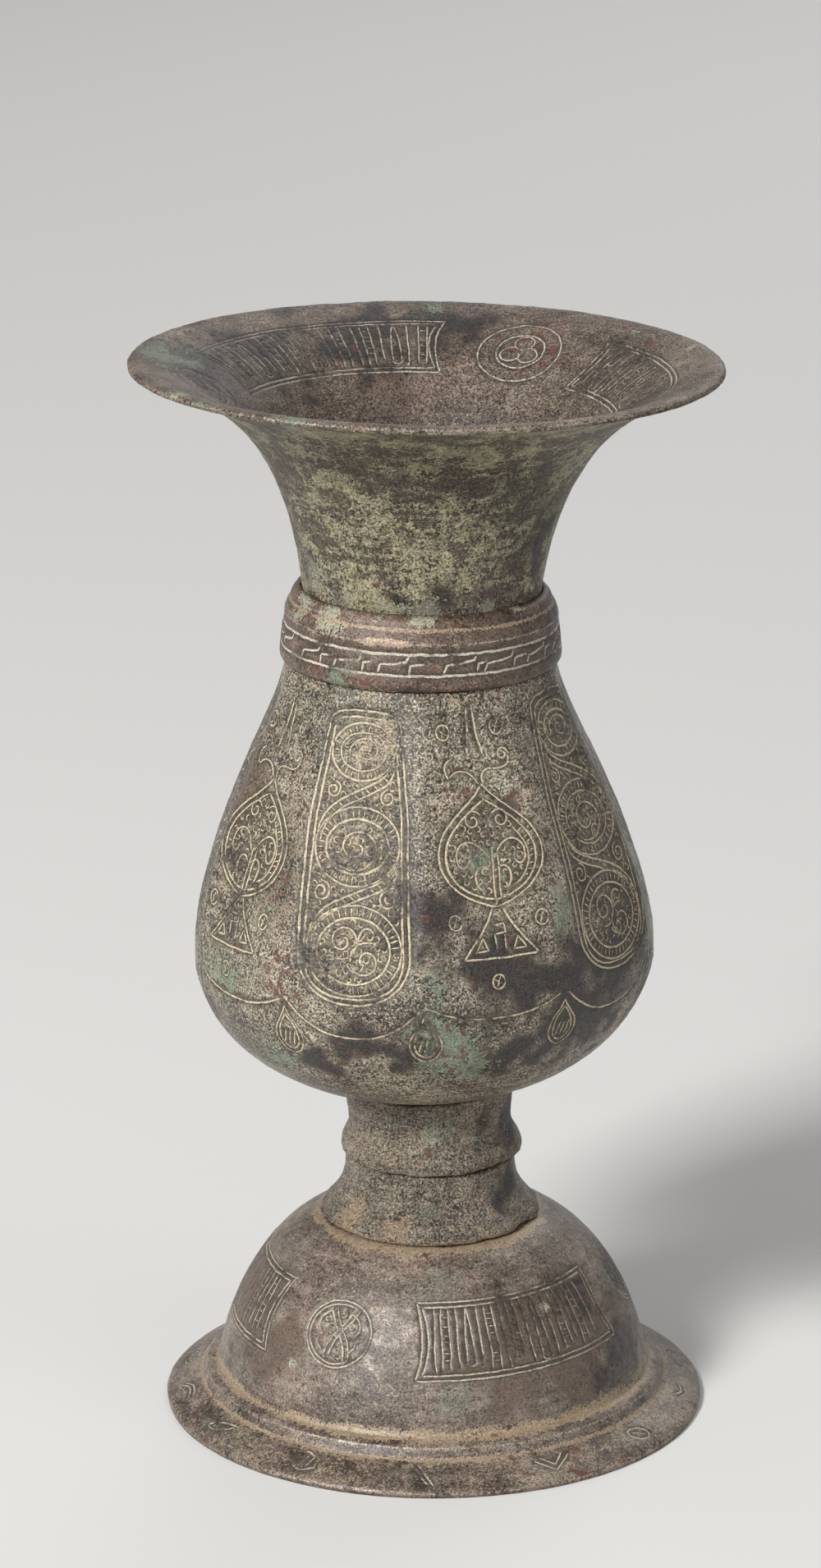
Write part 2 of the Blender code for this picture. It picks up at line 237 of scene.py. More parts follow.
def weather(piece, rings=None, stains=None, zones=None, rough=1.0, dents=()):
    """Ages a piece made in metres on the true axis: cast unevenness, sunk cuts, and layers for its finish.

    rings gives each kind its (radius, height, reach), where earth gathers or the metal is rubbed and
    painted with sheen.
    stains gives each kind its (angle, radius, height, reach), and zones a function for a whole field.
    dents lists (angle, radius, height, reach, sink): chips, or lips that stand out if sink is negative.
    """
    mesh = piece.data
    count = len(mesh.vertices)
    points, normals = np.zeros(count * 3), np.zeros(count * 3)
    mesh.vertices.foreach_get("co", points)
    mesh.vertex_normals.foreach_get("vector", normals)
    points, normals = points.reshape(-1, 3) / MM, normals.reshape(-1, 3)
    radius, angle = np.hypot(points[:, 0], points[:, 1]), np.arctan2(points[:, 0], -points[:, 1])
    lumps, drift = np.zeros(count), np.zeros(count)
    for i, p in enumerate(points):
        at = Vector(p)
        coarse, fine = noise.noise(at / SKIN_LUMP), noise.noise(at / SKIN_GRAIN)
        lumps[i] = 0.12 * noise.noise(at / SKIN_WAVE) + 0.10 * coarse + 0.09 * fine
        broad = noise.noise(at / BROAD_DRIFT + Vector((7, 0, 0)))
        drift[i] = 0.5 * broad + 0.45 * noise.noise(at / FINE_DRIFT) + 0.2 * fine
    layers = {}

    def lay(kind, value):
        layers[kind] = np.maximum(layers.get(kind, 0.0), value)

    def away(turn, spot_radius, height):
        """How far every point is from a place on the piece."""
        t = radians(turn)
        return np.linalg.norm(points - (spot_radius * sin(t), -spot_radius * cos(t), height), axis=1)

    spread = np.clip(0.72 + 0.5 * np.cos(angle) + 1.5 * drift, 0.15, 2)
    for kind, places in (rings or {}).items():
        for ring_radius, height, reach in places:
            gap = np.hypot(radius - ring_radius, points[:, 2] - height) / spread
            lay(kind, np.exp(-((gap / reach) ** 2)))
    for kind, places in (stains or {}).items():
        for *place, reach in places:
            lay(kind, 0.74 * np.clip(1.1 - away(*place) / reach + 1.2 * drift, 0, 1))
    outward = (normals[:, 0] * points[:, 0] + normals[:, 1] * points[:, 1]) / np.maximum(radius, 1e-3)
    for kind, field in (zones or {}).items():
        lay(kind, field(angle, radius, points[:, 2], outward))
    for kind, value in layers.items():
        mesh.attributes.new(kind, "FLOAT", "POINT").data.foreach_set("value", value.astype(np.float32))
    cut = np.zeros(count, np.float32)
    if "cut" in mesh.attributes:
        mesh.attributes["cut"].data.foreach_get("value", cut)
    sunk = CUT_DEPTH * cut
    for *place, reach, sink in dents:
        sunk = sunk + sink * np.exp(-((away(*place) / reach) ** 2))
    moved = lean(points + normals * (lumps * rough - sunk)[:, None]) * MM
    mesh.vertices.foreach_set("co", moved.ravel())
    mesh.update()


# Rows of near equal triangles lie this much of a spacing apart, and points keep this many mm off a cut.
ROW_PITCH = 0.87
CUT_MARGIN = 0.3


def cast(name, wall, grain, graver=None, creases=(), unroll=50.0):
    """Makes a wall into a closed mesh whose edges follow every cut and crease.

    grain lists (way, spacing of the points), and creases lists (radius, height) of crisp rings.
    """
    hand = random.Random(name)
    flat, links = [], []

    def run(angles, ways):
        first = len(flat)
        flat.extend(Vector((a * unroll, w)) for a, w in zip(angles, ways))
        links.extend((i, i + 1) for i in range(first, len(flat) - 1))

    def spacing(way):
        return float(np.interp(way, [g[0] for g in grain], [g[1] for g in grain]))

    ribbons = list(graver.ribbons()) if graver else []
    near = kdtree.KDTree(sum(len(widths) for _, widths in ribbons))
    half_widths = []
    for edges, widths in ribbons:
        for p, half in zip(wall.points_at(*edges[1]), widths):
            near.insert(p, len(half_widths))
            half_widths.append(half)
    near.balance()

    rows = [0.0]
    while rows[-1] < wall.length:
        rows.append(rows[-1] + spacing(rows[-1]) * ROW_PITCH)
    rows = [r * wall.length / rows[-1] for r in rows][1:-1]
    rings = sorted(wall.way_to(*c) for c in creases)
    rows = [r for r in rows if all(abs(r - ring) > 0.45 * spacing(r) for ring in rings)]
    ends = [0.0, wall.length]
    side = sorted(rows + rings + ends)
    for turn in (wall.seam, wall.seam + 2 * pi):
        run([turn] * len(side), side)
    for way in rings + ends:
        count = max(12, int(2 * pi * float(wall.radius_at(way)) / spacing(way if way in rings else 0.0)))
        run([wall.seam + 2 * pi * i / count for i in range(count + 1)], [way] * (count + 1))
    for k, way in enumerate(rows):
        count = max(6, int(2 * pi * float(wall.radius_at(way)) / spacing(way)))
        pitch = 2 * pi / count
        angles = wall.seam + pitch * (np.arange(1, count) + 0.5 * (k % 2) - 0.25)
        spots = wall.points_at(angles, np.full(count - 1, way))
        for angle, spot in zip(angles, spots):
            if half_widths:
                _, index, gap = near.find(spot)
                if gap < half_widths[index] + CUT_MARGIN:
                    continue
            jog = hand.uniform(-0.2, 0.2) * pitch
            flat.append(Vector(((angle + jog) * unroll, way + hand.uniform(-0.16, 0.16) * spacing(way))))
    for edges, _ in ribbons:
        for angles, ways in edges:
            run(angles, ways)

    places, _, faces, *_ = delaunay_2d_cdt(flat, links, [], 0, 1e-5, False)
    angle = np.array([p.x for p in places]) / unroll
    way = np.array([p.y for p in places])
    points = wall.points_at(angle, way)
    mesh = bpy.data.meshes.new(name)
    mesh.from_pydata((points * MM).tolist(), [], [tuple(reversed(f)) for f in faces])
    if half_widths:
        found = [near.find(p) for p in points]
        shares = np.array([gap / half_widths[index] for _, index, gap in found], np.float32)
        # The first layer is the depth of a groove, and the second a painted shade along both its sides.
        for layer, depth in (("cut", 1 - shares), ("burr", 1.7 - shares / 2)):
            mesh.attributes.new(layer, "FLOAT", "POINT").data.foreach_set("value", np.clip(depth, 0, 1))
    weld = bmesh.new()
    weld.from_mesh(mesh)
    bmesh.ops.remove_doubles(weld, verts=weld.verts, dist=2e-6)
    weld.to_mesh(mesh)
    weld.free()
    mesh.shade_smooth()
    piece = bpy.data.objects.new(name, mesh)
    bpy.context.scene.collection.objects.link(piece)
    return piece


PALE_PASTE = ((0.35, 0.282, 0.178), (0.72, 0.615, 0.425))


def patina(name, shades, paste=PALE_PASTE, kept=0.32, crust=None, grit=1.0, gloss=0.72, relief=0.00022):
    """Old bronze: a granular ground in three shades, stains, rubbed edges and paste in the cuts, with
    painted sheen and shade.

    kept is the level of wear at which the paste is gone: more leaves less of it.
    grit is how strongly the grains differ, and gloss how smooth the metal between them is.
    relief is the height of the grains in metres, and crust the three shades of a thick crust.
    """
    material = bpy.data.materials.new(name)
    material.use_nodes = True
    nodes, links = material.node_tree.nodes, material.node_tree.links
    shader = nodes["Principled BSDF"]
    place = nodes.new("ShaderNodeTexCoord").outputs["Object"]

    def cloud(scale, detail=4.0, roughness=0.6, distort=0.0, flat=1.0):
        node = nodes.new("ShaderNodeTexNoise")
        if flat == 1.0:
            links.new(place, node.inputs["Vector"])
        else:
            mapping = nodes.new("ShaderNodeMapping")
            mapping.inputs["Scale"].default_value = (1.0, 1.0, flat)
            links.new(place, mapping.inputs["Vector"])
            links.new(mapping.outputs["Vector"], node.inputs["Vector"])
        node.inputs["Scale"].default_value = scale
        node.inputs["Detail"].default_value = detail
        node.inputs["Roughness"].default_value = roughness
        node.inputs["Distortion"].default_value = distort
        return node.outputs["Fac"]

    def maths(kind, a, b, clamp=False):
        node = nodes.new("ShaderNodeMath")
        node.operation = kind
        node.use_clamp = clamp
        for socket, value in zip(node.inputs, (a, b)):
            if isinstance(value, (int, float)):
                socket.default_value = value
            else:
                links.new(value, socket)
        return node.outputs[0]

    def times(*values):
        product = values[0]
        for value in values[1:]:
            product = maths("MULTIPLY", product, value)
        return product

    def swing(value, amount):
        """A cloud's swing about its middle."""
        return times(maths("SUBTRACT", value, 0.5), amount)

    def total(*values):
        sum_so_far = values[0]
        for value in values[1:]:
            sum_so_far = maths("ADD", sum_so_far, value)
        return sum_so_far

    def step(value, low, high):
        node = nodes.new("ShaderNodeMapRange")
        node.interpolation_type = "SMOOTHSTEP"
        links.new(value, node.inputs["Value"])
        node.inputs["From Min"].default_value = low
        node.inputs["From Max"].default_value = high
        return node.outputs["Result"]

    def layer(attribute):
        node = nodes.new("ShaderNodeAttribute")
        node.attribute_name = attribute
        return node.outputs["Fac"]

    def blend(mask, under, over, kind="MIX"):
        node = nodes.new("ShaderNodeMix")
        node.data_type = "RGBA"
        node.blend_type = kind
        if isinstance(mask, (int, float)):
            node.inputs["Factor"].default_value = mask
        else:
            links.new(mask, node.inputs["Factor"])
        for socket, value in ((node.inputs[6], under), (node.inputs[7], over)):
            if isinstance(value, tuple):
                socket.default_value = (*value, 1.0)
            else:
                links.new(value, socket)
        return node.outputs[2]

    def ramp(value, stops):
        node = nodes.new("ShaderNodeValToRGB")
        links.new(value, node.inputs["Fac"])
        elements = node.color_ramp.elements
        while len(elements) < len(stops):
            elements.new(0.5)
        for element, (position, tint) in zip(elements, stops):
            element.position = position
            element.color = (*tint, 1.0)
        return node.outputs["Color"]

    broad = cloud(42.0, 5.0, 0.6)
    blotch = cloud(230.0, 5.0, 0.65, 0.5)
    grain = cloud(1900.0, 3.0, 0.8)
    fleck = cloud(960.0, 3.0, 0.65)
    streak = cloud(60.0, 5.0, 0.7, 0.0, 9.0)
    hue = cloud(75.0, 5.0, 0.65, 0.6)

    def grained(deep, pale, full=0.64):
        """A deep and a pale shade that follow the grain."""
        return ramp(grain, ((0.36, deep), (full, pale)))

    tone = total(swing(broad, 0.8), swing(blotch, 0.9), swing(streak, 0.6), 0.5)
    tone = total(tone, swing(fleck, 1.7 * grit), swing(grain, 2.8 * grit))
    colour = ramp(tone, ((0.16, shades[0]), (0.5, shades[1]), (0.84, shades[2])))
    warmth = ramp(total(hue, swing(grain, 0.4)), ((0.38, (0.97, 1.01, 0.95)), (0.62, (1.04, 0.975, 0.94))))
    colour = blend(1.0, colour, warmth, "MULTIPLY")

    height = total(times(grain, 0.8), times(fleck, 0.7), times(blotch, 0.8))
    if crust:
        thick = total(cloud(95.0, 8.0, 0.74, 0.9), swing(broad, 0.6), swing(streak, 0.5))
        thick = total(thick, swing(blotch, 0.5), swing(fleck, 0.6), swing(grain, 0.6))
        thick = times(step(thick, 0.42, 0.56), layer("crusty"))
        rind = total(grain, swing(fleck, 0.9), swing(blotch, 0.6))
        colour = blend(thick, colour, ramp(rind, tuple(zip((0.30, 0.5, 0.70), crust))))
        height = total(height, times(thick, 0.7))
        height = times(height, total(times(layer("crusty"), 0.72), 0.28))

    verdigris = step(total(cloud(30.0, 6.0, 0.65, 0.8), swing(grain, 0.5)), 0.56, 0.72)
    colour = blend(times(verdigris, 0.3), colour, (0.150, 0.165, 0.112))
    pits = times(step(fleck, 0.555, 0.615), step(blotch, 0.39, 0.50))
    colour = blend(times(pits, 0.8 * grit), colour, (0.026, 0.021, 0.017))

    ragged = total(swing(blotch, 0.9), swing(fleck, 1.1), swing(grain, 1.5), swing(streak, 0.7))

    def patch(kind, low, high):
        """Where a stain shows, ragged at its edge."""
        return times(step(total(layer(kind), ragged), low, high), step(layer(kind), 0.02, 0.22))

    stains = (
        ("paste", (0.19, 0.149, 0.094), (0.66, 0.555, 0.385), 0.72),
        ("brown", (0.060, 0.040, 0.030), (0.165, 0.112, 0.082), 0.8),
        # Dark patina, near black, which also stands in for painted shade.
        ("dark_patina_and_shade", (0.008, 0.0075, 0.0075), (0.046, 0.040, 0.037), 0.95),
        ("crust", (0.20, 0.19, 0.135), (0.50, 0.485, 0.37), 0.85),
        ("green", (0.105, 0.130, 0.088), (0.31, 0.36, 0.255), 0.74),
        ("tinge", (0.085, 0.104, 0.072), (0.26, 0.292, 0.215), 0.42),
        ("dirt", (0.215, 0.155, 0.094), (0.49, 0.375, 0.248), 0.75),
    )
    for kind, deep, pale, cover in stains:
        colour = blend(times(patch(kind, 0.44, 0.57), cover), colour, grained(deep, pale))
    rust = total(cloud(430.0, 3.0, 0.6), times(layer("red"), 0.16), swing(broad, 0.25), swing(grain, 0.25))
    rust = times(step(rust, 0.65, 0.70), 0.88)
    colour = blend(rust, colour, grained((0.070, 0.026, 0.018), (0.19, 0.074, 0.048)))

    # Rubbed metal, paler and a little metallic, which also stands in for painted sheen and sparkle on
    # edges.
    rub_and_sheen_level = total(layer("wear_and_sheen"), layer("sparkle_and_rub"))
    rubbed_and_sheen = step(total(rub_and_sheen_level, swing(blotch, 1.0), swing(fleck, 0.8), swing(grain, 1.4)), 0.74, 0.98)
    rubbed_and_sheen = times(rubbed_and_sheen, step(rub_and_sheen_level, 0.05, 0.3))
    colour = blend(rubbed_and_sheen, colour, grained((0.21, 0.160, 0.122), (0.47, 0.385, 0.305), 0.62))
    # A painted copper glint on the rubbed metal.
    painted_glint = step(total(layer("sparkle_and_rub"), swing(fleck, 2.2), swing(grain, 2.2)), 0.6, 0.9)
    colour = blend(times(rubbed_and_sheen, painted_glint), colour, (0.58, 0.39, 0.25))

    cut = layer("cut")
    held = maths("SUBTRACT", 1.0, times(patch("bare", 0.35, 0.75), 0.8))
    # Painted shade along both sides of every cut, weaker where the paste is worn bare.
    burr = times(layer("burr"), step(total(grain, swing(blotch, 0.8)), 0.30, 0.52), held)
    colour = blend(times(burr, 0.78), colour, (0.045, 0.036, 0.027))
    fill = step(total(cut, swing(blotch, 1.0), swing(fleck, 0.9), swing(grain, 0.7)), 0.16, 0.42)
    unworn = step(total(broad, swing(blotch, 0.7)), kept, kept + 0.16)
    fill = times(fill, step(cut, 0.02, 0.16), unworn, held)
    colour = blend(fill, colour, grained(*paste, 0.6))
    links.new(colour, shader.inputs["Base Color"])

    metal = times(maths("SUBTRACT", 1.0, fill), step(blotch, 0.35, 0.7))
    links.new(total(times(metal, 0.2), times(rubbed_and_sheen, 0.35)), shader.inputs["Metallic"])
    dull = total(times(grain, 0.34), times(fill, 0.22), times(rubbed_and_sheen, 0.08))
    links.new(maths("ADD", dull, 1.0 - gloss, True), shader.inputs["Roughness"])
    bump = nodes.new("ShaderNodeBump")
    bump.inputs["Distance"].default_value = relief
    links.new(maths("SUBTRACT", height, times(pits, 0.8)), bump.inputs["Height"])
    links.new(bump.outputs["Normal"], shader.inputs["Normal"])
    return material


def dress(piece, node, material):
    """Gives a piece its finish, and puts it in place of its plain casting."""
    piece.data.materials.append(material)
    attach(piece, "root")
    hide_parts(node)


def reeded_panel(graver, half_width, half_height, waist):
    """A double frame with hollow ends, filled with upright reeds, ladders and lancets."""
    for gap in (0.0, 1.3):
        w, h = half_width - 1.3 * gap, half_height - gap
        graver.line([(-w, h), (w, h)], 0.6)
        graver.line([(-w, -h), (w, -h)], 0.6)
        for side in (-1, 1):
            w_in = side * (w - waist)
            graver.line(bend((side * w, h), (w_in, h * 0.35), (w_in, -h * 0.35), (side * w, -h)), 0.6)
    top, x, kind = half_height - 1.8, waist + 2.6 - half_width, 0
    while x < half_width - waist - 3.0:
        low, bow = -top * graver.hand.uniform(0.7, 1.0), graver.hand.uniform(-0.6, 0.6)
        reed = bend((x, top), (x + bow, top / 3), (x - bow, low / 3), (x + bow / 2, low), 8)
        wide = graver.hand.uniform(1.9, 2.7)
        other = [(a + wide, b) for a, b in reed]
        if kind in (1, 5):
            graver.line(other, 0.5)
            ticks(graver, reed, other, graver.hand.uniform(1.6, 2.4), 0.46)
            x += wide
        if kind == 3:
            reed = bend((x + wide / 2, top), (x + wide, top / 2), (x + wide, low / 2), (x + wide, low), 8)
            graver.line(bend((x + wide / 2, top), (x, top / 2), (x, low / 2), (x, low), 8), 0.54)
            graver.line(arc(x + wide / 2, low + 0.6, wide * 0.7, 200, 340), 0.5)
            x += wide
        graver.line(reed, 0.56)
        x += graver.hand.uniform(1.9, 3.0)
        kind = (kind + 1) % 6


def leafy_roundel(graver, radius):
    """A double ring with crossing leaf stems inside."""
    graver.line(arc(0, 0, radius, 0, 360, 0.94)[:-1], closed=True)
    graver.line(arc(0, 0, radius - 1.1, 70, 300, 0.94), 0.5)
    r = radius - 2.0

    def scaled(side, *points):
        """Points given in shares of the ring, on its right or its left."""
        return [(x * side * r, y * r) for x, y in points]

    def in_ring(x, y):
        return hypot(x, y) < r - 0.6

    for side in (-1, 1):
        stem = bend(*scaled(side, (-0.42, 0.86), (-0.2, 0.2), (0.3, 0), (0.4, -0.8)))
        other = [(x + 1.5, y) for x, y in stem]
        graver.line(stem, 0.6)
        graver.line(other, 0.55)
        ticks(graver, stem, other, 1.6, 0.46)
        leaf = bend(*scaled(side, (0.3, 0.8), (0.9, 0.6), (0.95, 0.1), (0.55, -0.1)))
        graver.line(leaf, 0.6)
        graver.line(bend(leaf[-1], *scaled(side, (0.85, -0.1), (0.8, -0.5), (0.5, -0.62))), 0.55)
    graver.commas(in_ring, (-r, -r), (r, r), 1.05, 300)


# The dome's upper edge and the outer edge of the resting ring, as radius and height in mm.
DOME_EDGE, RIM_EDGE = (29.3, 51.5), (70.9, 0.0)
FOOT_WALL = 2.8
foot_outer = bend(DOME_EDGE, (42.0, 46.9), (52.6, 31.6), (56.6, 12.4), 30)
foot_profile = [
    *inner_face(foot_outer, FOOT_WALL)[::-1],
    (19.0, 48.7),
    (19.0, 51.5),
    *foot_outer,
    (57.1, 10.7),
    (58.2, 10.2),
    (59.6, 9.8),
    (60.5, 8.9),
    (60.9, 7.4),
    (61.6, 6.5),
    *bend((62.2, 6.2), (65.0, 5.0), (68.0, 3.4), (70.3, 1.95), 8),
    (71.0, 1.4),
    (71.2, 0.7),
    RIM_EDGE,
    (67.4, 0.0),
    (59.0, 4.6),
]
foot_wall = Wall(foot_profile, seam=-167)
foot_cuts = Graver(foot_wall, 11)
dome_middle = foot_wall.way_to(48.3, 33.6)
# Degrees round from the front to the nearest panel and roundel, which come back every third of the way.
PANEL_TURN, ROUNDEL_TURN, THIRD = 30, -30, 120
for turn in (0, THIRD, -THIRD):
    foot_cuts.set_at(turn + PANEL_TURN, dome_middle, fan=True)
    reeded_panel(foot_cuts, half_width=29.6, half_height=10.2, waist=2.4)
    foot_cuts.set_at(turn + ROUNDEL_TURN, dome_middle)
    leafy_roundel(foot_cuts, radius=9.4)

flange_middle = foot_wall.way_to(66.0, 4.1)
for back in (0, 180):
    foot_cuts.set_at(back - 81, flange_middle - 1)
    foot_cuts.line(bend((-4.5, -1.4), (-1, 1.6), (2, 1.4), (5, -0.4)))
    foot_cuts.line(bend((-4.0, -2.2), (-0.5, 0.4), (1.5, 0.2), (4.4, -1.6)))
    foot_cuts.set_at(back - 58, flange_middle, 20)
    foot_cuts.line(bend((-4.2, 0), (-1, 2.1), (2.6, 1.7), (5.6, 0.6)))
    foot_cuts.line(bend((-4.2, 0), (-1.5, -1.9), (2, -1.5), (5.6, 0.6)))
    foot_cuts.set_at(back - 30.5, flange_middle)
    corners = [radians(30 + 60 * i) for i in range(6)]
    foot_cuts.line([(4.2 * cos(t), 3.1 * sin(t)) for t in corners], closed=True)
    for x in (-1.9, -0.2, 1.5):
        foot_cuts.line([(x - 0.6, -1.9), (x + 0.9, 2.0)], 0.55)
    foot_cuts.set_at(back - 2, flange_middle)
    foot_cuts.line(bend((-2.0, 3.0), (-0.8, 1.8), (0.4, -1.2), (2.0, -3.2)))
    foot_cuts.line(bend((-3.0, 1.8), (-1.6, 0), (-0.6, -1.8), (0.6, -3.0)), 0.6)
    foot_cuts.set_at(back + 28, flange_middle)
    foot_cuts.line([(-5.4, 2.0), (-0.6, -2.2), (4.8, 2.0)])
    foot_cuts.line([(-3.6, 2.6), (-0.2, -0.4), (3.0, 2.8)], 0.6)
    foot_cuts.set_at(back + 53.5, flange_middle, -25)
    foot_cuts.line(arc(0, 0, 3.2, 0, 360, 0.62)[:-1], closed=True)
    foot_cuts.line([(-1.8, 0.3), (1.9, 0.1)], 0.55)
    foot_cuts.set_at(back + 80, flange_middle)
    foot_cuts.line(bend((-3.6, 1.4), (-1, -0.6), (1, -0.8), (4.0, 1.0)))
    foot_cuts.line(bend((-3.0, -0.4), (-0.6, -2.0), (1.2, -2.1), (3.6, -0.6)), 0.6)


def panel_ground(angle, radius, height, outward):
    """The browner ground inside the dome's panels."""
    off = np.abs(np.mod(np.degrees(angle) - PANEL_TURN + THIRD / 2, THIRD) - THIRD / 2)
    inside = np.clip((33.5 - off) / 3, 0, 1) * np.clip((9.8 - np.abs(height - 33.2)) / 2, 0, 1)
    return 0.75 * inside * (outward > 0.2)


def flange_top_wash(angle, radius, height, outward):
    """A pale wash over the top of the flange."""
    return 0.33 * (radius > 61.5) * (height > 0.5) * (height < 7)


dome_start, rim_end = foot_wall.way_to(*DOME_EDGE), foot_wall.way_to(*RIM_EDGE)
foot = cast(
    "foot_dome_and_flange",
    foot_wall,
    [
        (0, 4.5),
        (dome_start - 6, 3.0),
        (dome_start, 1.5),
        (rim_end, 1.3),
        (rim_end + 3, 2.6),
        (foot_wall.length, 4.5),
    ],
    foot_cuts,
    creases=(DOME_EDGE, (57.1, 10.7), (60.3, 9.1), (61.6, 6.5), (71.1, 1.2), RIM_EDGE),
)
weather(
    foot,
    rings={
        "dirt": ((29.6, 51.3, 1.7), (57.4, 11.0, 1.8), (61.7, 6.4, 0.6)),
        # The rubbed edges also stand in for painted highlights along them.
        "wear_and_sheen": ((60.3, 9.2, 0.5), (71.1, 1.0, 0.6)),
    },
    stains={
        "dirt": ((-8, 32.0, 49.8, 7),),
        "tinge": ((3, 39.0, 45.0, 9), (7, 54.5, 20.5, 10), (-62, 66.0, 4.2, 7), (-125, 48.0, 34.0, 12)),
        # Dark patina, also laid on the right as painted shade.
        "dark_patina_and_shade": (
            (-4, 67.5, 3.3, 5), (14, 68.0, 3.0, 4), (36, 57.5, 10.5, 7), (52, 46.0, 37.0, 13),
            (66, 54.5, 20.5, 18), (160, 52.0, 26.5, 18),
        ),
        "brown": ((22, 54.0, 21.5, 15), (45, 55.5, 17.5, 14), (-52, 52.0, 26.5, 20)),
        "red": ((34, 46.5, 36.5, 9), (47, 45.5, 38.0, 8), (33, 70.5, 1.8, 9), (110, 50.0, 31.0, 6)),
        "crust": ((-43, 53.0, 24.0, 2.5), (40, 46.0, 37.0, 2.5)),
        "bare": (
            (45, 47.0, 36.0, 14), (-82, 47.0, 35.0, 12), (-36, 48.0, 34.0, 6), (150, 48.0, 34.0, 16),
        ),
    },
    zones={"brown": panel_ground, "dirt": flange_top_wash},
)
foot_bronze = patina(
    "brown_grey_bronze",
    ((0.022, 0.016, 0.012), (0.150, 0.114, 0.092), (0.40, 0.345, 0.295)),
    paste=((0.25, 0.207, 0.15), (0.60, 0.525, 0.40)),
    kept=0.36,
    grit=0.56,
    gloss=0.84,
    relief=0.00014,
)
dress(foot, "domed_foot", foot_bronze)

# STEM BASE
# A flared bronze ring that stands on the crown of the dome, plain, rough and dusty with old earth, and
# chipped along its lower edge. Its spigot goes down through the dome, where it is soldered.


def turned_ring(name, profile, steps=132):
    """A ring turned from a circle that is drawn along a closed profile of (radius, height) in mm."""
    bpy.ops.object.select_all(action="DESELECT")
    radius, height = profile[0]
    bpy.ops.mesh.primitive_circle_add(vertices=steps, radius=radius * MM, location=(0, 0, height * MM))
    ring = bpy.context.object
    ring.name = name
    bpy.ops.object.transform_apply(location=True, rotation=False, scale=False)
    bpy.ops.object.mode_set(mode="EDIT")
    bpy.ops.mesh.select_all(action="SELECT")
    for (radius, height), (next_radius, next_height) in zip(profile, profile[1:]):
        rise = (0, 0, (next_height - height) * MM)
        bpy.ops.mesh.extrude_edges_move(TRANSFORM_OT_translate={"value": rise})
        bpy.ops.transform.resize(value=(next_radius / radius, next_radius / radius, 1))
    bpy.ops.mesh.select_all(action="DESELECT")
    bpy.ops.mesh.select_non_manifold()
    bpy.ops.mesh.bridge_edge_loops()
    bpy.ops.mesh.select_all(action="SELECT")
    bpy.ops.mesh.normals_make_consistent(inside=False)
    bpy.ops.object.mode_set(mode="OBJECT")
    bpy.ops.object.shade_smooth()
    return ring


stem_base = turned_ring(
    "stem_base_ring",
    [
        (12.4, 46.9),
        (12.4, 58.8),
        (16.0, 58.8),
        (16.0, 68.0),
        (20.8, 68.5),
        (21.6, 68.4),
        *bend((22.2, 67.9), (21.6, 62.0), (24.4, 57.8), (27.6, 54.5), 13),
        (28.2, 53.9),
        (28.4, 53.0),
        (28.3, 52.2),
        (27.6, 51.75),
        (18.3, 51.75),
        (18.3, 46.9),
    ],
)


KNOP_SEAM = 68.7


def dusty(angle, radius, height, outward):
    """The dust that lies all over the stem, and thicker on the knop."""
    return np.where(height > KNOP_SEAM, 0.30, 0.20)


weather(
    stem_base,
    rings={
        "wear_and_sheen": ((22.1, 68.2, 0.4), (28.3, 53.6, 0.4)),
        "dirt": ((28.1, 52.0, 0.8),),
    },
    stains={
        "dirt": ((-52, 25.5, 57.0, 6), (-20, 27.0, 55.0, 5), (28, 27.5, 54.5, 4), (130, 26.0, 56.5, 7)),
        # Dark patina, also laid on the right as painted shade.
        "dark_patina_and_shade": ((62, 23.0, 61.0, 10), (170, 23.0, 61.0, 10)),
        "tinge": ((0, 23.2, 60.0, 5),),
        # A painted glint on the chipped lower edge, on rubbed metal.
        "sparkle_and_rub": ((57, 28.2, 53.4, 2),),
    },
    zones={"dirt": dusty},
    rough=2.3,
    dents=(
        (58, 28.3, 52.6, 2.4, 1.3),
        (66, 28.2, 52.2, 2.2, 0.9),
        (80, 28.3, 53.8, 3.5, -0.7),
        (31, 28.3, 52.4, 1.8, 0.6),
    ),
)
stem_bronze = patina(
    "dusty_stem_bronze",
    ((0.022, 0.017, 0.013), (0.168, 0.140, 0.110), (0.48, 0.415, 0.335)),
    grit=0.9,
    relief=0.0007,
)
dress(stem_base, "stem_base", stem_bronze)

# STEM KNOP
# A bulged bronze ring between the stem base and the body, sharp at its lower edge, which stands out
# furthest on the right. The body's tail passes down through it.
knop = turned_ring(
    "stem_knop_ring",
    [
        (16.0, 69.0),
        (16.0, 88.4),
        (22.4, 88.4),
        *bend((22.5, 87.6), (21.4, 83.0), (20.9, 79.0), (21.4, 76.2), 9),
        *bend((21.8, 75.2), (22.7, 73.6), (23.3, 72.2), (23.2, 70.6), 5),
        (23.0, 69.5),
        (22.4, 69.0),
    ],
)
weather(
    knop,
    rings={
        "wear_and_sheen": ((23.0, 69.6, 0.5),),
        "dirt": ((23.2, 71.2, 0.4),),
    },
    stains={
        "tinge": ((12, 21.4, 83.5, 7), (-25, 21.6, 85.0, 6)),
        # Dark patina, also laid on the right as painted shade.
        "dark_patina_and_shade": ((40, 21.4, 82.0, 8), (70, 21.2, 79.0, 9), (-150, 21.2, 79.0, 9)),
        "crust": ((2, 21.0, 79.5, 4),),
    },
    zones={"dirt": dusty},
    rough=2.3,
    dents=((84, 23.1, 70.4, 6.0, -1.0), (52, 23.2, 69.8, 2.5, 0.5), (-20, 23.2, 69.6, 2.2, 0.4)),
)
dress(knop, "stem_knop", stem_bronze)

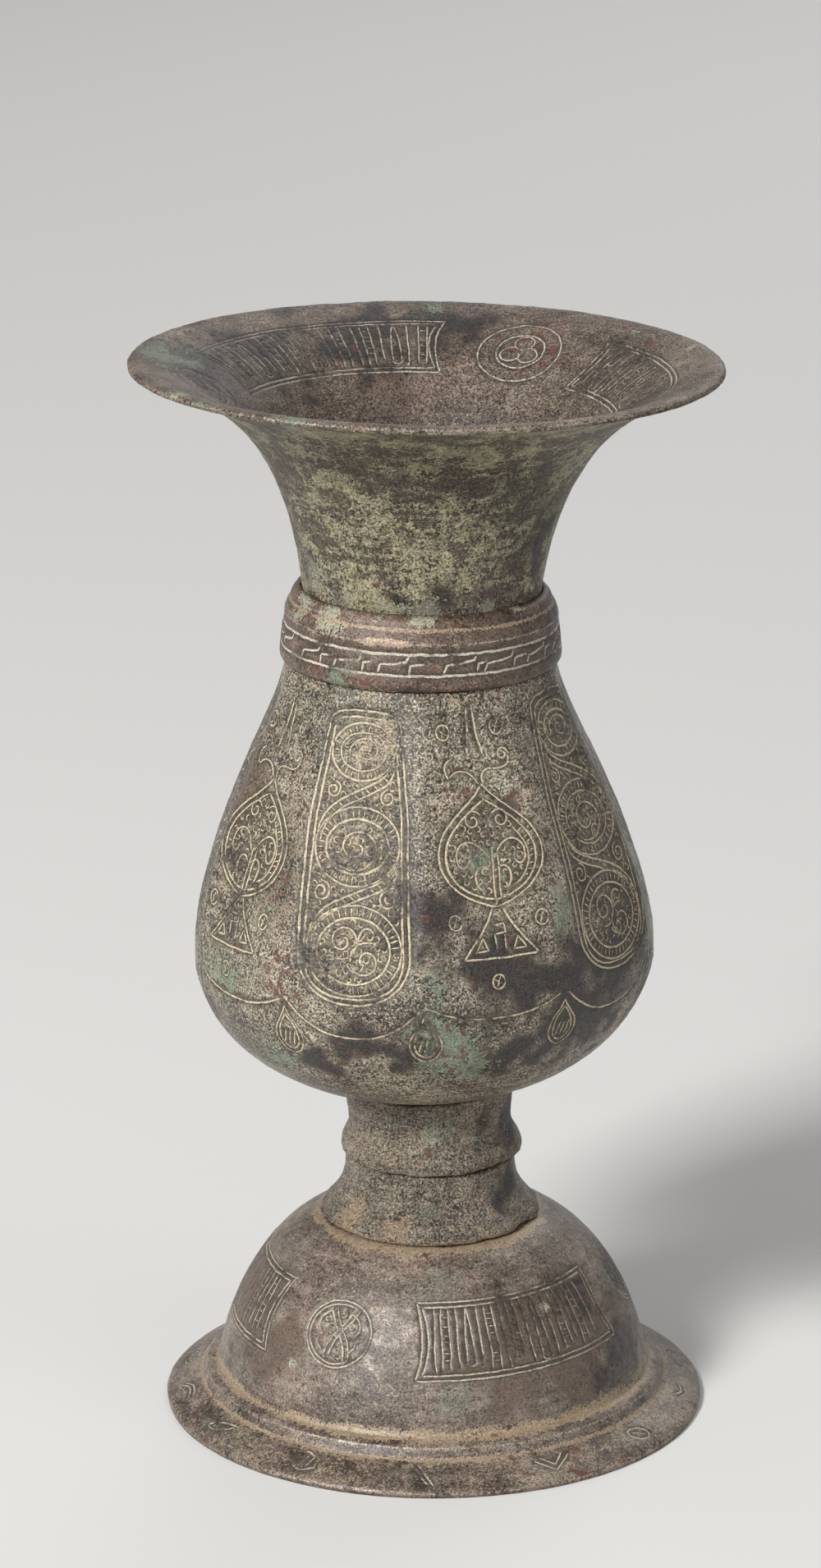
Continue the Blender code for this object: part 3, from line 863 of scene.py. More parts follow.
# BODY
# The pear-shaped vessel, cast with ten softly flattened sides that die out in scallops on the round
# belly. Sides with linked hatched roundels take turns with sides that carry a standing tree.
SIDES = 10
BODY_WALL, THROAT_RADIUS = 3.0, 29.5
BELLY_RADIUS, BELLY_HEIGHT, BELLY_DEPTH, BELLY_POWER = 60.5, 131.0, 43.6, 2.25
FLOOR_RADIUS, FLOOR_DEPTH, FLOOR_POWER = 56.0, 39.0, 0.9
# The upper edge of a side, the edge of the seat on the knop, and how far out a side's middle reaches.
SIDE_EDGE, SEAT_EDGE, SIDE_REACH = (34.7, 202.8), (21.5, 88.9), 59.6
side_line = bend(SIDE_EDGE, (36.2, 188.6), (SIDE_REACH, 150.4), (SIDE_REACH, 126.5), 60)
side_radii, side_heights = np.array(side_line[::-1]).T


def belly_radius(height):
    """The round belly below and between the sides."""
    drop = np.clip((BELLY_HEIGHT - height) / BELLY_DEPTH, 0, 1)
    return BELLY_RADIUS * (1 - drop**BELLY_POWER) ** (1 / BELLY_POWER)


def side_radius(height):
    """The middle of a side."""
    return np.interp(height, side_heights, side_radii)


lower_heights = BELLY_HEIGHT - BELLY_DEPTH * np.sin(np.linspace(0.18, 1.28, 16))
lower_line = [(min(SIDE_REACH, float(belly_radius(h))), float(h)) for h in lower_heights]
vessel_floor = []
for turn in np.linspace(pi / 2 - 0.15, 0.25, 11):
    floor_radius = FLOOR_RADIUS * cos(turn) ** FLOOR_POWER
    vessel_floor.append((floor_radius, BELLY_HEIGHT - FLOOR_DEPTH * sin(turn) ** FLOOR_POWER))
body_profile = [
    (0.0, 92.0),
    *vessel_floor,
    *[(max(r - BODY_WALL, THROAT_RADIUS), z) for r, z in side_line[50:6:-6]],
    (THROAT_RADIUS, 199.5),
    (THROAT_RADIUS, 211.0),
    (31.7, 211.0),
    (31.7, 203.1),
    *side_line,
    *lower_line,
    SEAT_EDGE,
    (15.5, 88.9),
    (15.5, 60.3),
    (12.4, 60.3),
    (12.4, 86.0),
    (0.0, 86.0),
]
body_wall = Wall(body_profile, closed=False, seam=-174.5)
body_top, body_seat = body_wall.way_to(*SIDE_EDGE), body_wall.way_to(*SEAT_EDGE)
face_ways = np.linspace(body_top, body_seat, 1500)
face_heights = body_wall.height_at(face_ways)


def body_corners(angle, height, way):
    """How far the soft corners stand out from the middle of a side."""
    pitch = 2 * pi / SIDES
    off = np.mod(angle, pitch) - pitch / 2
    flatness = 0.42 + 0.43 * np.sin(pi * np.clip((height - 131.2) / 71.6, 0, 1))
    sided = side_radius(height) * (1 + flatness * (1 / np.cos(off) - 1))
    full = np.minimum(sided, belly_radius(height))
    plain = np.minimum(side_radius(height), belly_radius(height))
    outside = (way > body_top - 0.1) & (way < body_seat - 0.1)
    return np.where(outside, full / np.maximum(plain, 1.0), 1.0)


def body_way(height):
    """The way down the body's face to a height."""
    return np.interp(-height, -face_heights, face_ways)


body_wall.corners = body_corners
body_cuts = Graver(body_wall, 5)


def scroll(x, y, radius, start, turns, small=0.18, tall=1.0):
    """A spiral that winds in from its rim."""
    steps = max(10, int(abs(turns) * 26))
    points = []
    for i in range(steps + 1):
        reach = radius * (1 - (1 - small) * i / steps)
        t = radians(start) + 2 * pi * turns * i / steps
        points.append((x + reach * cos(t), y + reach * tall * sin(t)))
    return points


def ladder_ring(graver, x, y, wide, tall, band, step=1.8):
    """A band of two rings with cross cuts between them."""
    outer_ring = arc(x, y, wide, 0, 360, tall / wide)
    inner_ring = arc(x, y, wide - band, 0, 360, (tall - band) / (wide - band))
    for ring in (outer_ring, inner_ring):
        graver.line(ring[:-1], closed=True)
    ticks(graver, outer_ring, inner_ring, step)


def half_palmette(graver, x, y, size, side, tilt=0.0):
    """A curled leaf with a split tip."""
    c, s = size * cos(radians(tilt)), size * sin(radians(tilt))

    def put(points):
        return [(x + side * a * c - b * s, y + side * a * s + b * c) for a, b in points]

    graver.line(put(bend((0, 0), (0.1, 0.7), (0.75, 0.95), (1.0, 0.35))), 0.6)
    graver.line(put(bend((1.0, 0.35), (0.95, -0.05), (0.6, -0.1), (0.62, 0.25), 8)), 0.58)
    graver.line(put(bend((0, 0), (0.35, 0.1), (0.5, 0.3), (0.45, 0.55), 8)), 0.52)


def frame_middle(height):
    """The middle of the long frame on a roundel side, which the engraver let drift."""
    return -2.9 + 2.9 * (197 - height) / 54


def frame_half(height):
    """Half the width of that frame."""
    return np.interp(height, [128, 143, 172, 197], [14.6, 14.6, 12.75, 8.85])


ROUNDELS = ((188.2, 8.2, 6.8, 2.3), (166.2, 11.0, 9.2, 2.8), (141.6, 12.5, 11.0, 2.9))


def roundel_side(graver, flip):
    """Three hatched roundels linked by crossing bands, in a long double frame."""

    def mid(height):
        return flip * frame_middle(height)

    for gap in (0.0, 1.6):
        for side in (-1, 1):
            span = np.linspace(194.5 - gap * 0.3, 140, 14)
            rail = [(mid(z) + side * (frame_half(z) - gap), z) for z in span]
            low = (mid(140) + side * (14.6 - gap), 140)
            rail += bend(low, (low[0], 132.5), (side * 8.0, 128.2 + gap), (0, 128.2 + gap))[1:]
            graver.line(rail, 0.7)
            top = mid(197)
            shoulder = (mid(194.5) + side * (frame_half(194.5) - gap), 194.5 - gap * 0.3)
            corner = (top + side * (8.6 - gap), 197.4 - gap)
            graver.line(bend(shoulder, corner, (top + side * 5, 197.8 - gap), (top, 197.8 - gap), 10), 0.66)
    for side in (-1, 1):
        for high, low in ((184, 172), (160, 151)):
            span = np.linspace(high, low, 5)
            rail = [(mid(z) + side * (frame_half(z) - 1.6), z) for z in span]
            inner = [(mid(z) + side * (frame_half(z) - 3.1), z) for z in span]
            ticks(graver, rail, inner, 1.9, 0.48)
    for z, wide, tall, band in ROUNDELS:
        ladder_ring(graver, mid(z), z, wide, tall, band)
    for (z0, wide0, tall0, _), (z1, wide1, tall1, _) in zip(ROUNDELS, ROUNDELS[1:]):
        start = (mid(z0) + flip * wide0 * 0.95, z0 - tall0 * 0.32)
        end = (mid(z1) - flip * wide1 * 0.97, z1 + tall1 * 0.24)
        cross = (z0 - tall0 + z1 + tall1) / 2
        link = bend(start, (start[0], cross + 0.4), (end[0], cross + 1.2), end, 22)
        lower = [(x + flip * 0.8, z - 1.7) for x, z in link]
        graver.line(link)
        graver.line(lower)
        ticks(graver, link, lower, 1.8)
        knob = 0.105 * (wide0 + wide1)
        for side in (-1, 1):
            x = mid(cross) + side * (frame_half(cross) - 2.5 - knob)
            graver.line(scroll(x, cross - flip * side * 0.5, knob, 90, side * 1.5, 0.25), 0.6)
    z, x = ROUNDELS[0][0], mid(ROUNDELS[0][0])
    graver.line(scroll(x + 0.6, z + 0.2, 4.3, 200, -1.4, 0.2, 0.8), 0.62)
    z, x = ROUNDELS[1][0], mid(ROUNDELS[1][0])
    graver.line(scroll(x - 0.2, z - 0.2, 6.6, 230, 1.5, 0.16, 0.85), 0.64)
    half_palmette(graver, x + 0.4, z - 5.4, 3.6, 1, 20)
    z, x = ROUNDELS[2][0], mid(ROUNDELS[2][0])
    graver.line(scroll(x - 3.0, z + 2.4, 4.6, 250, 1.5, 0.2), 0.64)
    graver.line(scroll(x + 3.4, z - 2.2, 4.8, 70, 1.5, 0.2), 0.64)
    half_palmette(graver, x + 1.2, z + 2.4, 4.2, 1, 10)
    half_palmette(graver, x - 1.6, z - 3.0, 4.2, -1, 200)

    def in_frame(x, z):
        return abs(x - mid(z)) < frame_half(z) - 2.4 - max(0, 136 - z)

    graver.commas(in_frame, (-16, 130.5), (14, 195.5), 0.95, 2600)


def rosette(graver, x, z, size=1.6):
    """A small ring with a leaf in it."""
    graver.line(arc(x, z, size, 20, 350, 1.15), 0.55)
    graver.line([(x - 0.4 * size, z - size), (x + 0.3 * size, z + 0.9 * size)], 0.5)
    graver.line([(x + 0.3 * size, z - 0.2 * size), (x - 0.6 * size, z + 0.4 * size)], 0.46)


def tree_outline(gap):
    """Half of the tree's outline, from the tip to the bottom, on the right."""
    wide = (13.4 - gap, 163.2)
    upper = bend((0.3, 180.2 - 2 * gap), (4.8 - gap * 0.6, 174.5), (13.8 - gap, 171.5 - gap), wide)
    lower = bend(wide, (13.0 - gap, 156.6 + gap * 0.4), (5.4, 152.9 + gap * 0.7), (0.2, 151.8 + gap))
    return upper + lower[1:]


def mirrored(side, *points):
    """Points drawn on the right, or mirrored to the left."""
    return [(side * x, z) for x, z in points]


def tree_side(graver):
    """A pointed tree on a triangular stand, with leaf scrolls inside and rosettes round it."""
    for gap in (0.0, 1.7):
        for side in (-1, 1):
            graver.line(mirrored(side, *tree_outline(gap)), 0.7)
    outer, inner = tree_outline(1.7), tree_outline(3.6)
    graver.line(inner[8:26], 0.56)
    ticks(graver, outer[8:26], inner[8:26], 1.7)
    for x in (0.0, 1.5):
        graver.line(bend((x, 153.2), (x - 0.4, 157.0), (x + 0.6, 160.5), (x + 0.2, 164.5)), 0.58)
    for side in (-1, 1):
        leaf = bend(*mirrored(side, (0.6, 163.0), (3.5, 168.8), (8.2, 168.4), (9.0, 164.4)))
        curl = bend(leaf[-1], *mirrored(side, (9.2, 160.6), (6.2, 160.6), (6.0, 163.4)), 8)
        graver.line(leaf + curl[1:], 0.62)
        graver.line(bend(*mirrored(side, (1.0, 160.5), (4.2, 163.2), (6.2, 158.4), (3.2, 155.6))), 0.6)
        graver.line(scroll(side * 3.6, 172.2, 2.4, 90 + side * 60, -side * 1.3, 0.22), 0.58)
        graver.line(bend(*mirrored(side, (1.4, 151.6), (2.6, 148.0), (6.0, 144.0), (9.9, 139.6))), 0.68)
        triangle = [(side * 5.0 - 1.7, 141.2), (side * 4.6, 144.4), (side * 5.0 + 1.6, 141.4)]
        graver.line(triangle, 0.6, closed=True)
    graver.line([(-9.9, 139.6), (0.0, 139.3), (9.9, 139.6)], 0.68)
    graver.line([(-1.6, 147.4), (1.2, 147.6), (1.4, 145.6), (-1.4, 145.2), (-1.2, 142.2)], 0.58)
    graver.line([(1.2, 144.6), (1.3, 141.2)], 0.56)
    widths = np.array(tree_outline(2.4))

    def in_tree(x, z):
        return abs(x) < np.interp(-z, -widths[:, 1], widths[:, 0]) - 0.6 and 153.5 < z < 176

    graver.commas(in_tree, (-12, 153), (12, 176), 0.92, 1400)
    graver.line(bend((0.6, 180.6), (-0.6, 183.0), (1.4, 184.2), (3.2, 184.0)), 0.62)
    graver.line(bend((3.2, 184.0), (6.8, 183.4), (8.6, 185.0), (7.6, 187.0)), 0.62)
    graver.line(scroll(6.4, 187.0, 1.6, 0, 1.2, 0.3), 0.55)
    graver.line(bend((-0.8, 180.6), (-2.6, 184.4), (-6.4, 184.8), (-8.4, 182.2)), 0.58)
    graver.line(bend((-8.4, 182.2), (-9.6, 184.0), (-9.2, 186.2), (-7.4, 186.8)), 0.54)
    graver.line([(-1.8, 199.0), (-2.0, 193.5), (-2.8, 187.6)], 0.66)
    graver.line([(-0.2, 198.2), (0.2, 192.5), (1.4, 187.2)], 0.66)
    for x, z in ((-8.4, 193.2), (5.6, 193.6), (-11.2, 148.8), (11.4, 148.0), (-1.4, 133.4)):
        rosette(graver, x, z)


def hanging_leaf(graver):
    """A pointed leaf under a corner, in two outlines with hatching."""
    for gap in (0.0, 1.3):
        for side in (-1, 1):
            wide = 4.0 - gap
            tip, base, belly = (0, 126.0 - 1.6 * gap), (0, 112.8 + gap), (wide, 116.6)
            graver.line(bend(*mirrored(side, tip, (1.0, 122.5), (wide * 1.2, 120.5), belly)), 0.6)
            lower = mirrored(side, belly, (wide * 0.8, 114.0 + gap), (1.4, 113.0 + gap), base)
            graver.line(bend(*lower, 8), 0.58)
    for x in (-1.2, 0.2, 1.6):
        graver.line([(x - 0.7, 115.4), (x + 0.5, 119.6)], 0.48)


# The place of the first side round the body and the step to the next, in degrees.
FIRST_SIDE, SIDE_STEP = -162, 360 / SIDES
# How far each side's drawing was set off its middle, and its drop, from the first side on.
DRAWING_SHIFTS = (
    *((1.0, 0), (-1.5, -1), (0.5, 0), (-3.0, -3), (0, 0)),
    *((2.0, 0), (3.4, 0.8), (-1.0, -1), (0, 0), (1.2, -2)),
)


def flip_of(shift):
    """A drawing that was set far to the right is mirrored too."""
    return -1 if shift > 2 else 1


for number, shift in enumerate(DRAWING_SHIFTS):
    middle = FIRST_SIDE + SIDE_STEP * number
    body_cuts.set_on_side(middle, body_way, shift)
    if number % 2 == 0:
        roundel_side(body_cuts, flip_of(shift[0]))
    else:
        tree_side(body_cuts)
    body_cuts.set_on_side(middle, body_way)
    dip = 119.4 if number % 2 == 0 else 124.0
    body_cuts.line([(x, dip + (128.2 - dip) * abs(x / 18.2) ** 2.4) for x in np.linspace(-17.6, 17.6, 30)])
    body_cuts.set_on_side(middle - SIDE_STEP / 2, body_way)
    hanging_leaf(body_cuts)


# The roundel side that faces the front, counted from the first side. Its paste is laid thicker as a painted
# highlight.
PAINTED_HIGHLIGHT_PANEL = 4


def pasted(angle, radius, height, outward):
    """Where the pale paste is still rubbed into the ground, inside the frames and the trees, and thicker on
    the front panel as a painted highlight.
    """
    value = np.zeros(len(angle))
    for number, (shift, drop) in enumerate(DRAWING_SHIFTS):
        off = np.mod(angle - radians(FIRST_SIDE + SIDE_STEP * number) + pi, 2 * pi) - pi
        x, z = off * radius - shift, height - drop
        if number % 2 == 0:
            edge = frame_half(z) - np.abs(x - flip_of(shift) * frame_middle(z))
            inside = np.clip(edge / 2, 0, 1) * np.clip((z - 127) / 4, 0, 1) * np.clip((198.5 - z) / 2, 0, 1)
            # The front panel's paste is laid thicker, a painted highlight.
            strength = 0.55 if number == PAINTED_HIGHLIGHT_PANEL else 0.42
        else:
            inside = np.clip(1.3 - np.hypot(x, (z - 163.5) * 0.9) / 12.5, 0, 0.3) / 0.3
            strength = 0.45
        value = np.maximum(value, strength * inside)
    return value * (outward > 0)


def front_left_wash(angle, radius, height, outward):
    """A pale tan wash over the front left of the body, strongest 32 degrees left of the front and 160 mm
    up.
    """
    off = (np.degrees(angle) + 32) / 34
    rise = (height - 160) / 38
    return 0.34 * np.exp(-(off**2) - rise**2) * (outward > 0)


def browned(angle, radius, height, outward):
    """The browner ground between the front panel and the tree on its left."""
    off = (np.degrees(angle) + 42) / 14
    rise = (height - 158) / 34
    return 0.42 * np.exp(-(off**2) - rise**2) * (outward > 0)


body = cast(
    "faceted_pear_body",
    body_wall,
    [
        (0, 6.0),
        (body_top - 9, 5.0),
        (body_top, 1.7),
        (body_seat - 8, 1.7),
        (body_seat + 4, 5.0),
        (body_wall.length, 5.0),
    ],
    body_cuts,
    creases=(SIDE_EDGE, SEAT_EDGE),
    unroll=52.0,
)
weather(
    body,
    rings={
        "dirt": ((34.9, 201.6, 0.6),),
    },
    stains={
        # Dark patina, also laid over the right and the lower belly as painted shade.
        "dark_patina_and_shade": (
            (5, 59.0, 149, 19), (14, 59.8, 137, 18), (27, 59.8, 131, 19), (44, 59.0, 128, 30),
            (62, 58.0, 140, 24), (23, 56.0, 113, 13), (50, 56.5, 152, 15), (29, 50.5, 177, 8),
            (-18, 59.3, 120, 10), (-6, 57.5, 114, 8), (-30, 57.0, 110, 9), (150, 59.5, 140, 24),
            (-140, 58.0, 120, 20),
        ),
        "green": (
            (2, 60.2, 134, 7), (3, 59.9, 127, 9), (5, 59.0, 119, 11), (7, 56.0, 110, 13),
            (22, 55.5, 160, 11), (-6, 50.0, 178, 8), (40, 58.5, 148, 10), (-62, 59.0, 128, 14),
            (-45, 55.0, 107, 12), (170, 52.0, 175, 16), (-120, 58.5, 150, 14),
        ),
        "red": (
            (16, 47.5, 184, 10), (30, 49.5, 180, 10), (35, 55.5, 163, 9), (10, 59.6, 125, 11),
            (4, 46.0, 187, 8), (1, 58.5, 152, 7), (-46, 56.5, 158, 16), (-36, 59.5, 132, 10),
            (8, 58.0, 114, 9), (-22, 55.0, 107, 10), (120, 55.0, 165, 14), (-100, 52.0, 175, 12),
        ),
        "brown": ((-70, 52.0, 175, 18), (14, 52.0, 172, 12)),
        "bare": (
            (-16, 43.0, 192, 13), (-10, 47.0, 184, 7), (-54, 44.0, 190, 10), (14, 54.0, 166, 9),
            (22, 51.0, 174, 7), (94, 52.0, 172, 18), (-130, 56.0, 160, 20), (164, 45.0, 190, 16),
        ),
        # Rubbed spots on the front panel, laid as painted sparkle.
        "wear_and_sheen": ((-8, 57.5, 156, 4), (-4, 59.0, 144, 4), (-10, 60.0, 135, 4)),
        "crust": ((11, 58.0, 156, 5), (16, 58.5, 154, 4)),
    },
    zones={"paste": pasted, "dirt": front_left_wash, "brown": browned},
)
body_shades = ((0.014, 0.011, 0.009), (0.162, 0.137, 0.105), (0.625, 0.56, 0.45))
body_bronze = patina("grey_beige_bronze", body_shades, gloss=0.82)
dress(body, "faceted_body", body_bronze)

# NECK COLLAR
# A bronze sleeve over the joint of body and neck, rubbed brown. A running stepped key is cut between
# two lines round it, and its lower edge stands out over the body.
collar_profile = [
    (32.5, 203.0),
    (32.5, 213.4),
    (31.1, 213.5),
    (30.7, 219.6),
    (30.6, 221.6),
    (31.1, 221.9),
    *bend((31.7, 221.7), (32.6, 221.3), (33.2, 220.4), (33.5, 219.4), 6),
    (33.7, 218.7),
    (34.2, 218.3),
    (34.5, 217.2),
    (34.9, 216.2),
    (35.1, 215.3),
    (35.2, 213.2),
    (35.75, 210.4),
    (36.0, 207.4),
    (36.2, 205.2),
    *bend((36.15, 204.6), (36.1, 203.6), (35.6, 203.0), (34.9, 202.9), 6),
]
COLLAR_SEAM, BAND_RADIUS = -172, 35.7
collar_wall = Wall(collar_profile, seam=COLLAR_SEAM)
band_top, band_bottom = collar_wall.way_to(34.5, 217.2), collar_wall.way_to(36.2, 205.2)
band_ways = np.linspace(band_top, band_bottom, 200)
band_heights = collar_wall.height_at(band_ways)


def collar_way(height):
    """The way down the collar's band to a height."""
    return np.interp(-height, -band_heights, band_ways)


collar_cuts = Graver(collar_wall, 21)
collar_cuts.set_on_side(0, collar_way)
half_round = BAND_RADIUS * radians(-COLLAR_SEAM) - 0.6
round_band = [-half_round + 2 * half_round * i / 100 for i in range(101)]
for height in (212.8, 207.5):
    collar_cuts.line([(x, height) for x in round_band], 0.9, tremor=0.12)
KEY_TURNS = (-156, -135, -113, -92, -72, -52, -32, -12, 15.5, 33, 54, 75, 97, 118, 140)
for number, turn in enumerate(KEY_TURNS):
    x = radians(turn) * BAND_RADIUS
    wide = collar_cuts.hand.uniform(6.4, 8.4)
    rise = collar_cuts.hand.uniform(-0.3, 0.3)
    key = [(x + wide / 2 + 0.5, 212.4), (x + wide / 2 - 0.2, 210.9 + rise), (x + 1.0, 210.4 + rise)]
    collar_cuts.line(key + [(x - wide / 2 + 0.9, 209.9 + rise), (x - wide / 2, 207.8)], 0.86)
    hook = x + wide / 2 + 1.6
    reach = 2.8 if number % 2 else 1.4
    collar_cuts.line([(hook + reach, 210.5), (hook - 0.6, 210.2), (hook - 1.0, 208.0)], 0.78)
collar = cast(
    "neck_collar_band",
    collar_wall,
    [(0, 3.5), (band_top - 9, 2.6), (band_top - 4, 1.1), (collar_wall.length, 1.2)],
    collar_cuts,
    creases=((31.1, 221.9), (33.7, 218.7), (35.1, 215.3), (36.2, 205.2)),
    unroll=36.0,
)
weather(
    collar,
    rings={
        "dirt": ((33.8, 218.6, 0.4),),
        # The rubbed edges also stand in for painted highlights along them.
        "wear_and_sheen": ((35.1, 215.4, 0.5), (35.9, 203.3, 0.5)),
    },
    stains={
        "crust": (
            (-62, 32.6, 221.0, 8), (-46, 32.6, 221.0, 9), (-20, 31.6, 221.6, 4), (0, 31.6, 221.6, 4),
            (25, 31.2, 221.8, 3), (48, 31.2, 221.8, 3), (120, 31.8, 221.4, 10),
        ),
        # Painted copper glints on the rubbed upper edge.
        "sparkle_and_rub": ((-9, 35.0, 215.2, 2.6), (-14, 35.0, 215.3, 2.4), (-21, 35.0, 215.4, 2.2)),
        "bare": ((-30, 35.8, 209.5, 5), (-62, 35.8, 210.0, 5), (110, 35.8, 210.0, 9)),
        "red": ((-46, 36.1, 204.8, 9), (-24, 36.0, 204.2, 6), (140, 36.1, 205.0, 9)),
        "green": ((-36, 36.1, 205.0, 6),),
        # Dark patina, also laid on the right as painted shade.
        "dark_patina_and_shade": ((-35, 36.0, 206.0, 4), (74, 35.4, 212.0, 11), (-170, 35.4, 212.0, 12)),
        "brown": ((30, 34.6, 216.5, 14), (-20, 33.6, 219.0, 9)),
    },
    rough=1.3,
)
collar_bronze = patina(
    "rubbed_brown_bronze",
    ((0.024, 0.016, 0.011), (0.112, 0.074, 0.054), (0.31, 0.237, 0.19)),
    paste=((0.32, 0.275, 0.215), (0.64, 0.575, 0.47)),
    grit=0.72,
    gloss=0.78,
    relief=0.00016,
)
dress(collar, "neck_collar", collar_bronze)

# FLARED NECK
# A trumpet of thin cast bronze whose tail is soldered inside the collar. Outside it is plain under a
# dusty olive crust. Inside the mouth, reeded panels and knotted roundels are cut round the flare.
NECK_WALL = 2.3
neck_under = bend((74.7, 278.3), (43.4, 271.4), (33.4, 247.2), (30.6, 220.6), 60)
neck_profile = [
    (28.2, 213.6),
    *[p for p in inner_face(neck_under, NECK_WALL)[::-1] if p[0] < 73.4],
    (74.4, 280.1),
    (75.1, 279.9),
    (75.4, 279.3),
    (75.3, 278.6),
    *neck_under,
    (30.6, 213.6),
]
neck_wall = Wall(neck_profile, seam=171.5)
neck_cuts = Graver(neck_wall, 31)
flare_middle = neck_wall.way_to(54.5, 273.0)


def knotted_roundel(graver, radius):
    """Two rings round a knot of loops."""
    graver.line(arc(0, 0, radius, 0, 360, 0.9)[:-1], 0.72, closed=True)
    graver.line(arc(0, 0, radius * 0.58, 0, 360, 0.9)[:-1], 0.62, closed=True)
    for k in range(3):
        turn = 90 + 120 * k
        x, y = 0.25 * radius * cos(radians(turn)), 0.25 * radius * sin(radians(turn))
        graver.line(arc(x, y, 0.24 * radius, turn - 160, turn + 160, 0.9), 0.6)


for turn in (153, 33, -87):
    neck_cuts.set_at(turn, flare_middle, 180)
    knotted_roundel(neck_cuts, radius=11.4)
    neck_cuts.set_at(turn - 60, flare_middle, 180, fan=True)
    reeded_panel(neck_cuts, half_width=36.0, half_height=9.4, waist=2.6)


def outer_face(angle, radius, height, outward):
    """The outside of the neck, where the crust lies."""
    return np.clip(0.5 + 2 * outward, 0, 1) * (height < 278.8)


lip_way, throat_way = neck_wall.way_to(75.3, 279.0), neck_wall.way_to(31.0, 246.0)
neck = cast(
    "flared_neck_and_mouth",
    neck_wall,
    [
        (0, 4.5),
        (throat_way, 2.8),
        (flare_middle - 16, 1.8),
        (lip_way, 1.4),
        (lip_way + 20, 1.9),
        (neck_wall.length - 8, 2.0),
        (neck_wall.length, 4.5),
    ],
    neck_cuts,
    creases=((74.4, 280.1), (75.4, 279.3), (75.3, 278.6)),
)
weather(
    neck,
    rings={
        # The rubbed lip also stands in for a painted highlight along it.
        "wear_and_sheen": ((75.3, 279.5, 0.6),),
    },
    stains={
        # Dark patina, also laid in the mouth and on the right as painted shade.
        "dark_patina_and_shade": (
            (-130, 55.0, 273.0, 26), (-160, 58.0, 274.5, 24), (178, 62.0, 276.0, 17),
            (-100, 60.0, 275.5, 22), (-12, 31.4, 226.0, 6), (8, 31.3, 226.0, 5), (62, 34.0, 241.0, 12),
        ),
        "red": ((153, 54.0, 273.0, 14), (120, 66.0, 277.5, 10)),
        "brown": ((-170, 42.0, 265.0, 14), (8, 31.2, 227.0, 8), (30, 31.4, 226.0, 9)),
        "crust": (
            (108, 71.0, 279.0, 4), (128, 70.0, 278.8, 3), (-56, 74.5, 279.6, 4), (-46, 31.0, 223.0, 9),
            (-62, 31.4, 228.0, 9), (-18, 30.8, 222.5, 7), (2, 30.8, 222.5, 7), (30, 30.8, 222.5, 5),
        ),
        "green": (
            (-98, 68.0, 278.2, 13), (178, 71.0, 279.2, 8), (-48, 75.0, 279.0, 9), (-25, 75.0, 279.0, 7),
        ),
        "bare": ((-150, 55.0, 273.0, 30), (-110, 55.0, 273.0, 26), (-40, 56.0, 273.5, 24)),
    },
    zones={"crusty": outer_face},
    rough=1.5,
)
neck_bronze = patina(
    "olive_crusted_bronze",
    ((0.018, 0.012, 0.009), (0.142, 0.102, 0.077), (0.37, 0.30, 0.245)),
    paste=((0.24, 0.205, 0.16), (0.60, 0.54, 0.44)),
    kept=0.35,
    crust=((0.105, 0.090, 0.052), (0.345, 0.312, 0.19), (0.64, 0.595, 0.405)),
    grit=0.85,
    relief=0.0009,
)
dress(neck, "flared_neck", neck_bronze)

# SOLDER
# Soft grey solder holds the castings: a ring between neck and body, a ring under the body's tail and
# a fillet round the spigot under the dome.
solder = bpy.data.materials.new("dull_soft_solder")
solder.use_nodes = True
solder_nodes, solder_links = solder.node_tree.nodes, solder.node_tree.links
solder_shader = solder_nodes["Principled BSDF"]
solder_cloud = solder_nodes.new("ShaderNodeTexNoise")
solder_cloud.inputs["Scale"].default_value = 420.0
solder_cloud.inputs["Detail"].default_value = 5.0
solder_links.new(solder_nodes.new("ShaderNodeTexCoord").outputs["Object"], solder_cloud.inputs["Vector"])
solder_ramp = solder_nodes.new("ShaderNodeValToRGB")
solder_ramp.color_ramp.elements[0].color = (0.16, 0.16, 0.15, 1)
solder_ramp.color_ramp.elements[1].color = (0.42, 0.42, 0.40, 1)
solder_links.new(solder_cloud.outputs["Fac"], solder_ramp.inputs["Fac"])
solder_links.new(solder_ramp.outputs["Color"], solder_shader.inputs["Base Color"])
solder_bump = solder_nodes.new("ShaderNodeBump")
solder_bump.inputs["Distance"].default_value = 0.0003
solder_links.new(solder_cloud.outputs["Fac"], solder_bump.inputs["Height"])
solder_links.new(solder_bump.outputs["Normal"], solder_shader.inputs["Normal"])
solder_shader.inputs["Metallic"].default_value = 0.6
solder_shader.inputs["Roughness"].default_value = 0.6
neck_ring = bend((28.5, 211.9), (28.5, 213.3), (31.4, 213.3), (31.4, 211.9), 9)
stem_ring = bend((12.6, 59.1), (12.6, 60.3), (15.2, 60.3), (15.2, 59.1), 9)
foot_fillet = [(18.7, 47.1), (18.7, 48.3), (21.6, 48.3), (20.6, 47.9), (19.4, 47.3)]
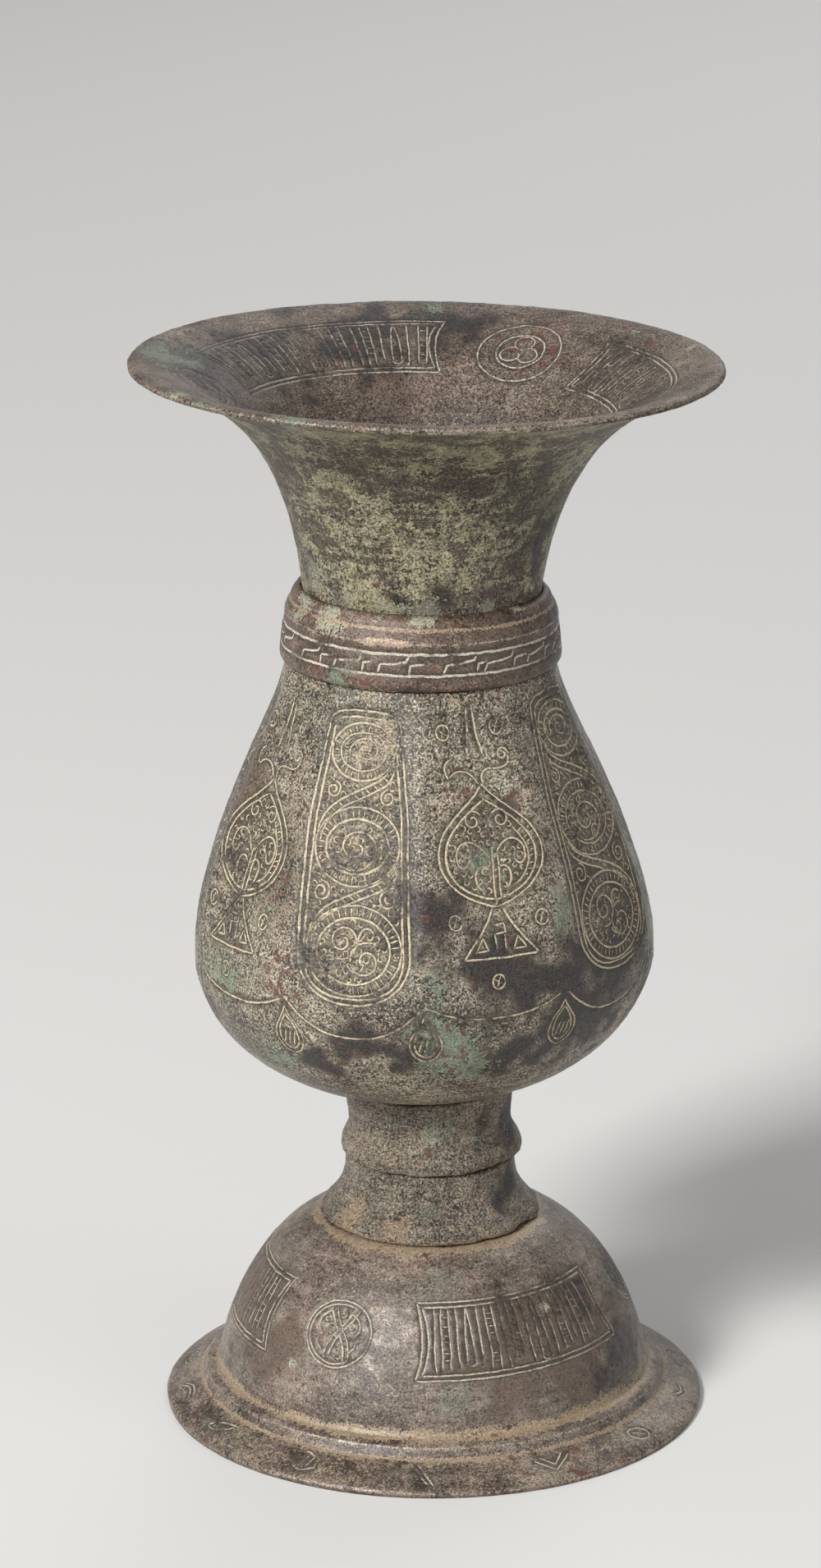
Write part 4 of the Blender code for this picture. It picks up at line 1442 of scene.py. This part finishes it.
solder_rings = (
    ("neck_solder_ring", "neck_solder", neck_ring),
    ("stem_solder_ring", "stem_solder", stem_ring),
    ("foot_solder_fillet", "foot_solder", foot_fillet),
)
for ring_name, node, profile in solder_rings:
    ring = turned_ring(ring_name, profile, 96)
    weather(ring, rough=0.4)
    dress(ring, node, solder)

# STAGE
# A plain pale floor, a soft key lamp up to the left, two broad weak fills, and the camera.
bpy.ops.mesh.primitive_plane_add(size=12.0, location=(0, 0, 0))
pale_floor = bpy.context.object
pale_floor.name = "pale_floor"
floor_paint = bpy.data.materials.new("pale_floor_paint")
floor_paint.use_nodes = True
floor_shader = floor_paint.node_tree.nodes["Principled BSDF"]
floor_shader.inputs["Base Color"].default_value = (0.72, 0.71, 0.69, 1)
floor_shader.inputs["Roughness"].default_value = 0.85
pale_floor.data.materials.append(floor_paint)

world = bpy.data.worlds.new("studio")
world.use_nodes = True
background = world.node_tree.nodes["Background"]
background.inputs["Color"].default_value = (1.0, 1.0, 1.0, 1)
background.inputs["Strength"].default_value = 0.31
bpy.context.scene.world = world


def lamp(name, place, target, size, power):
    """A square soft lamp that faces a point."""
    data = bpy.data.lights.new(name, "AREA")
    data.size = size
    data.energy = power
    lamp_object = bpy.data.objects.new(name, data)
    lamp_object.location = place
    lamp_object.rotation_euler = (Vector(target) - Vector(place)).to_track_quat("-Z", "Y").to_euler()
    bpy.context.scene.collection.objects.link(lamp_object)


lamp("key_lamp", (-1.9, -2.3, 2.1), target=(0, 0, 0.15), size=0.9, power=150.0)
lamp("fill_lamp", (2.6, -1.6, 1.4), target=(0, 0, 0.14), size=1.8, power=13.0)
lamp("back_lamp", (0.9, 2.6, 1.8), target=(0, 0, 0.14), size=1.8, power=18.0)

CAMERA_DIP = 16.756
camera_data = bpy.data.cameras.new("photo_camera")
camera_data.lens = 124.63
camera_data.sensor_width = 36.0
camera = bpy.data.objects.new("photo_camera", camera_data)
camera.location = (-0.0051, -1.3418, 0.57265)
camera.rotation_euler = (radians(90 - CAMERA_DIP), 0, 0)
bpy.context.scene.collection.objects.link(camera)
bpy.context.scene.camera = camera

bpy.context.scene.view_settings.view_transform = "Standard"
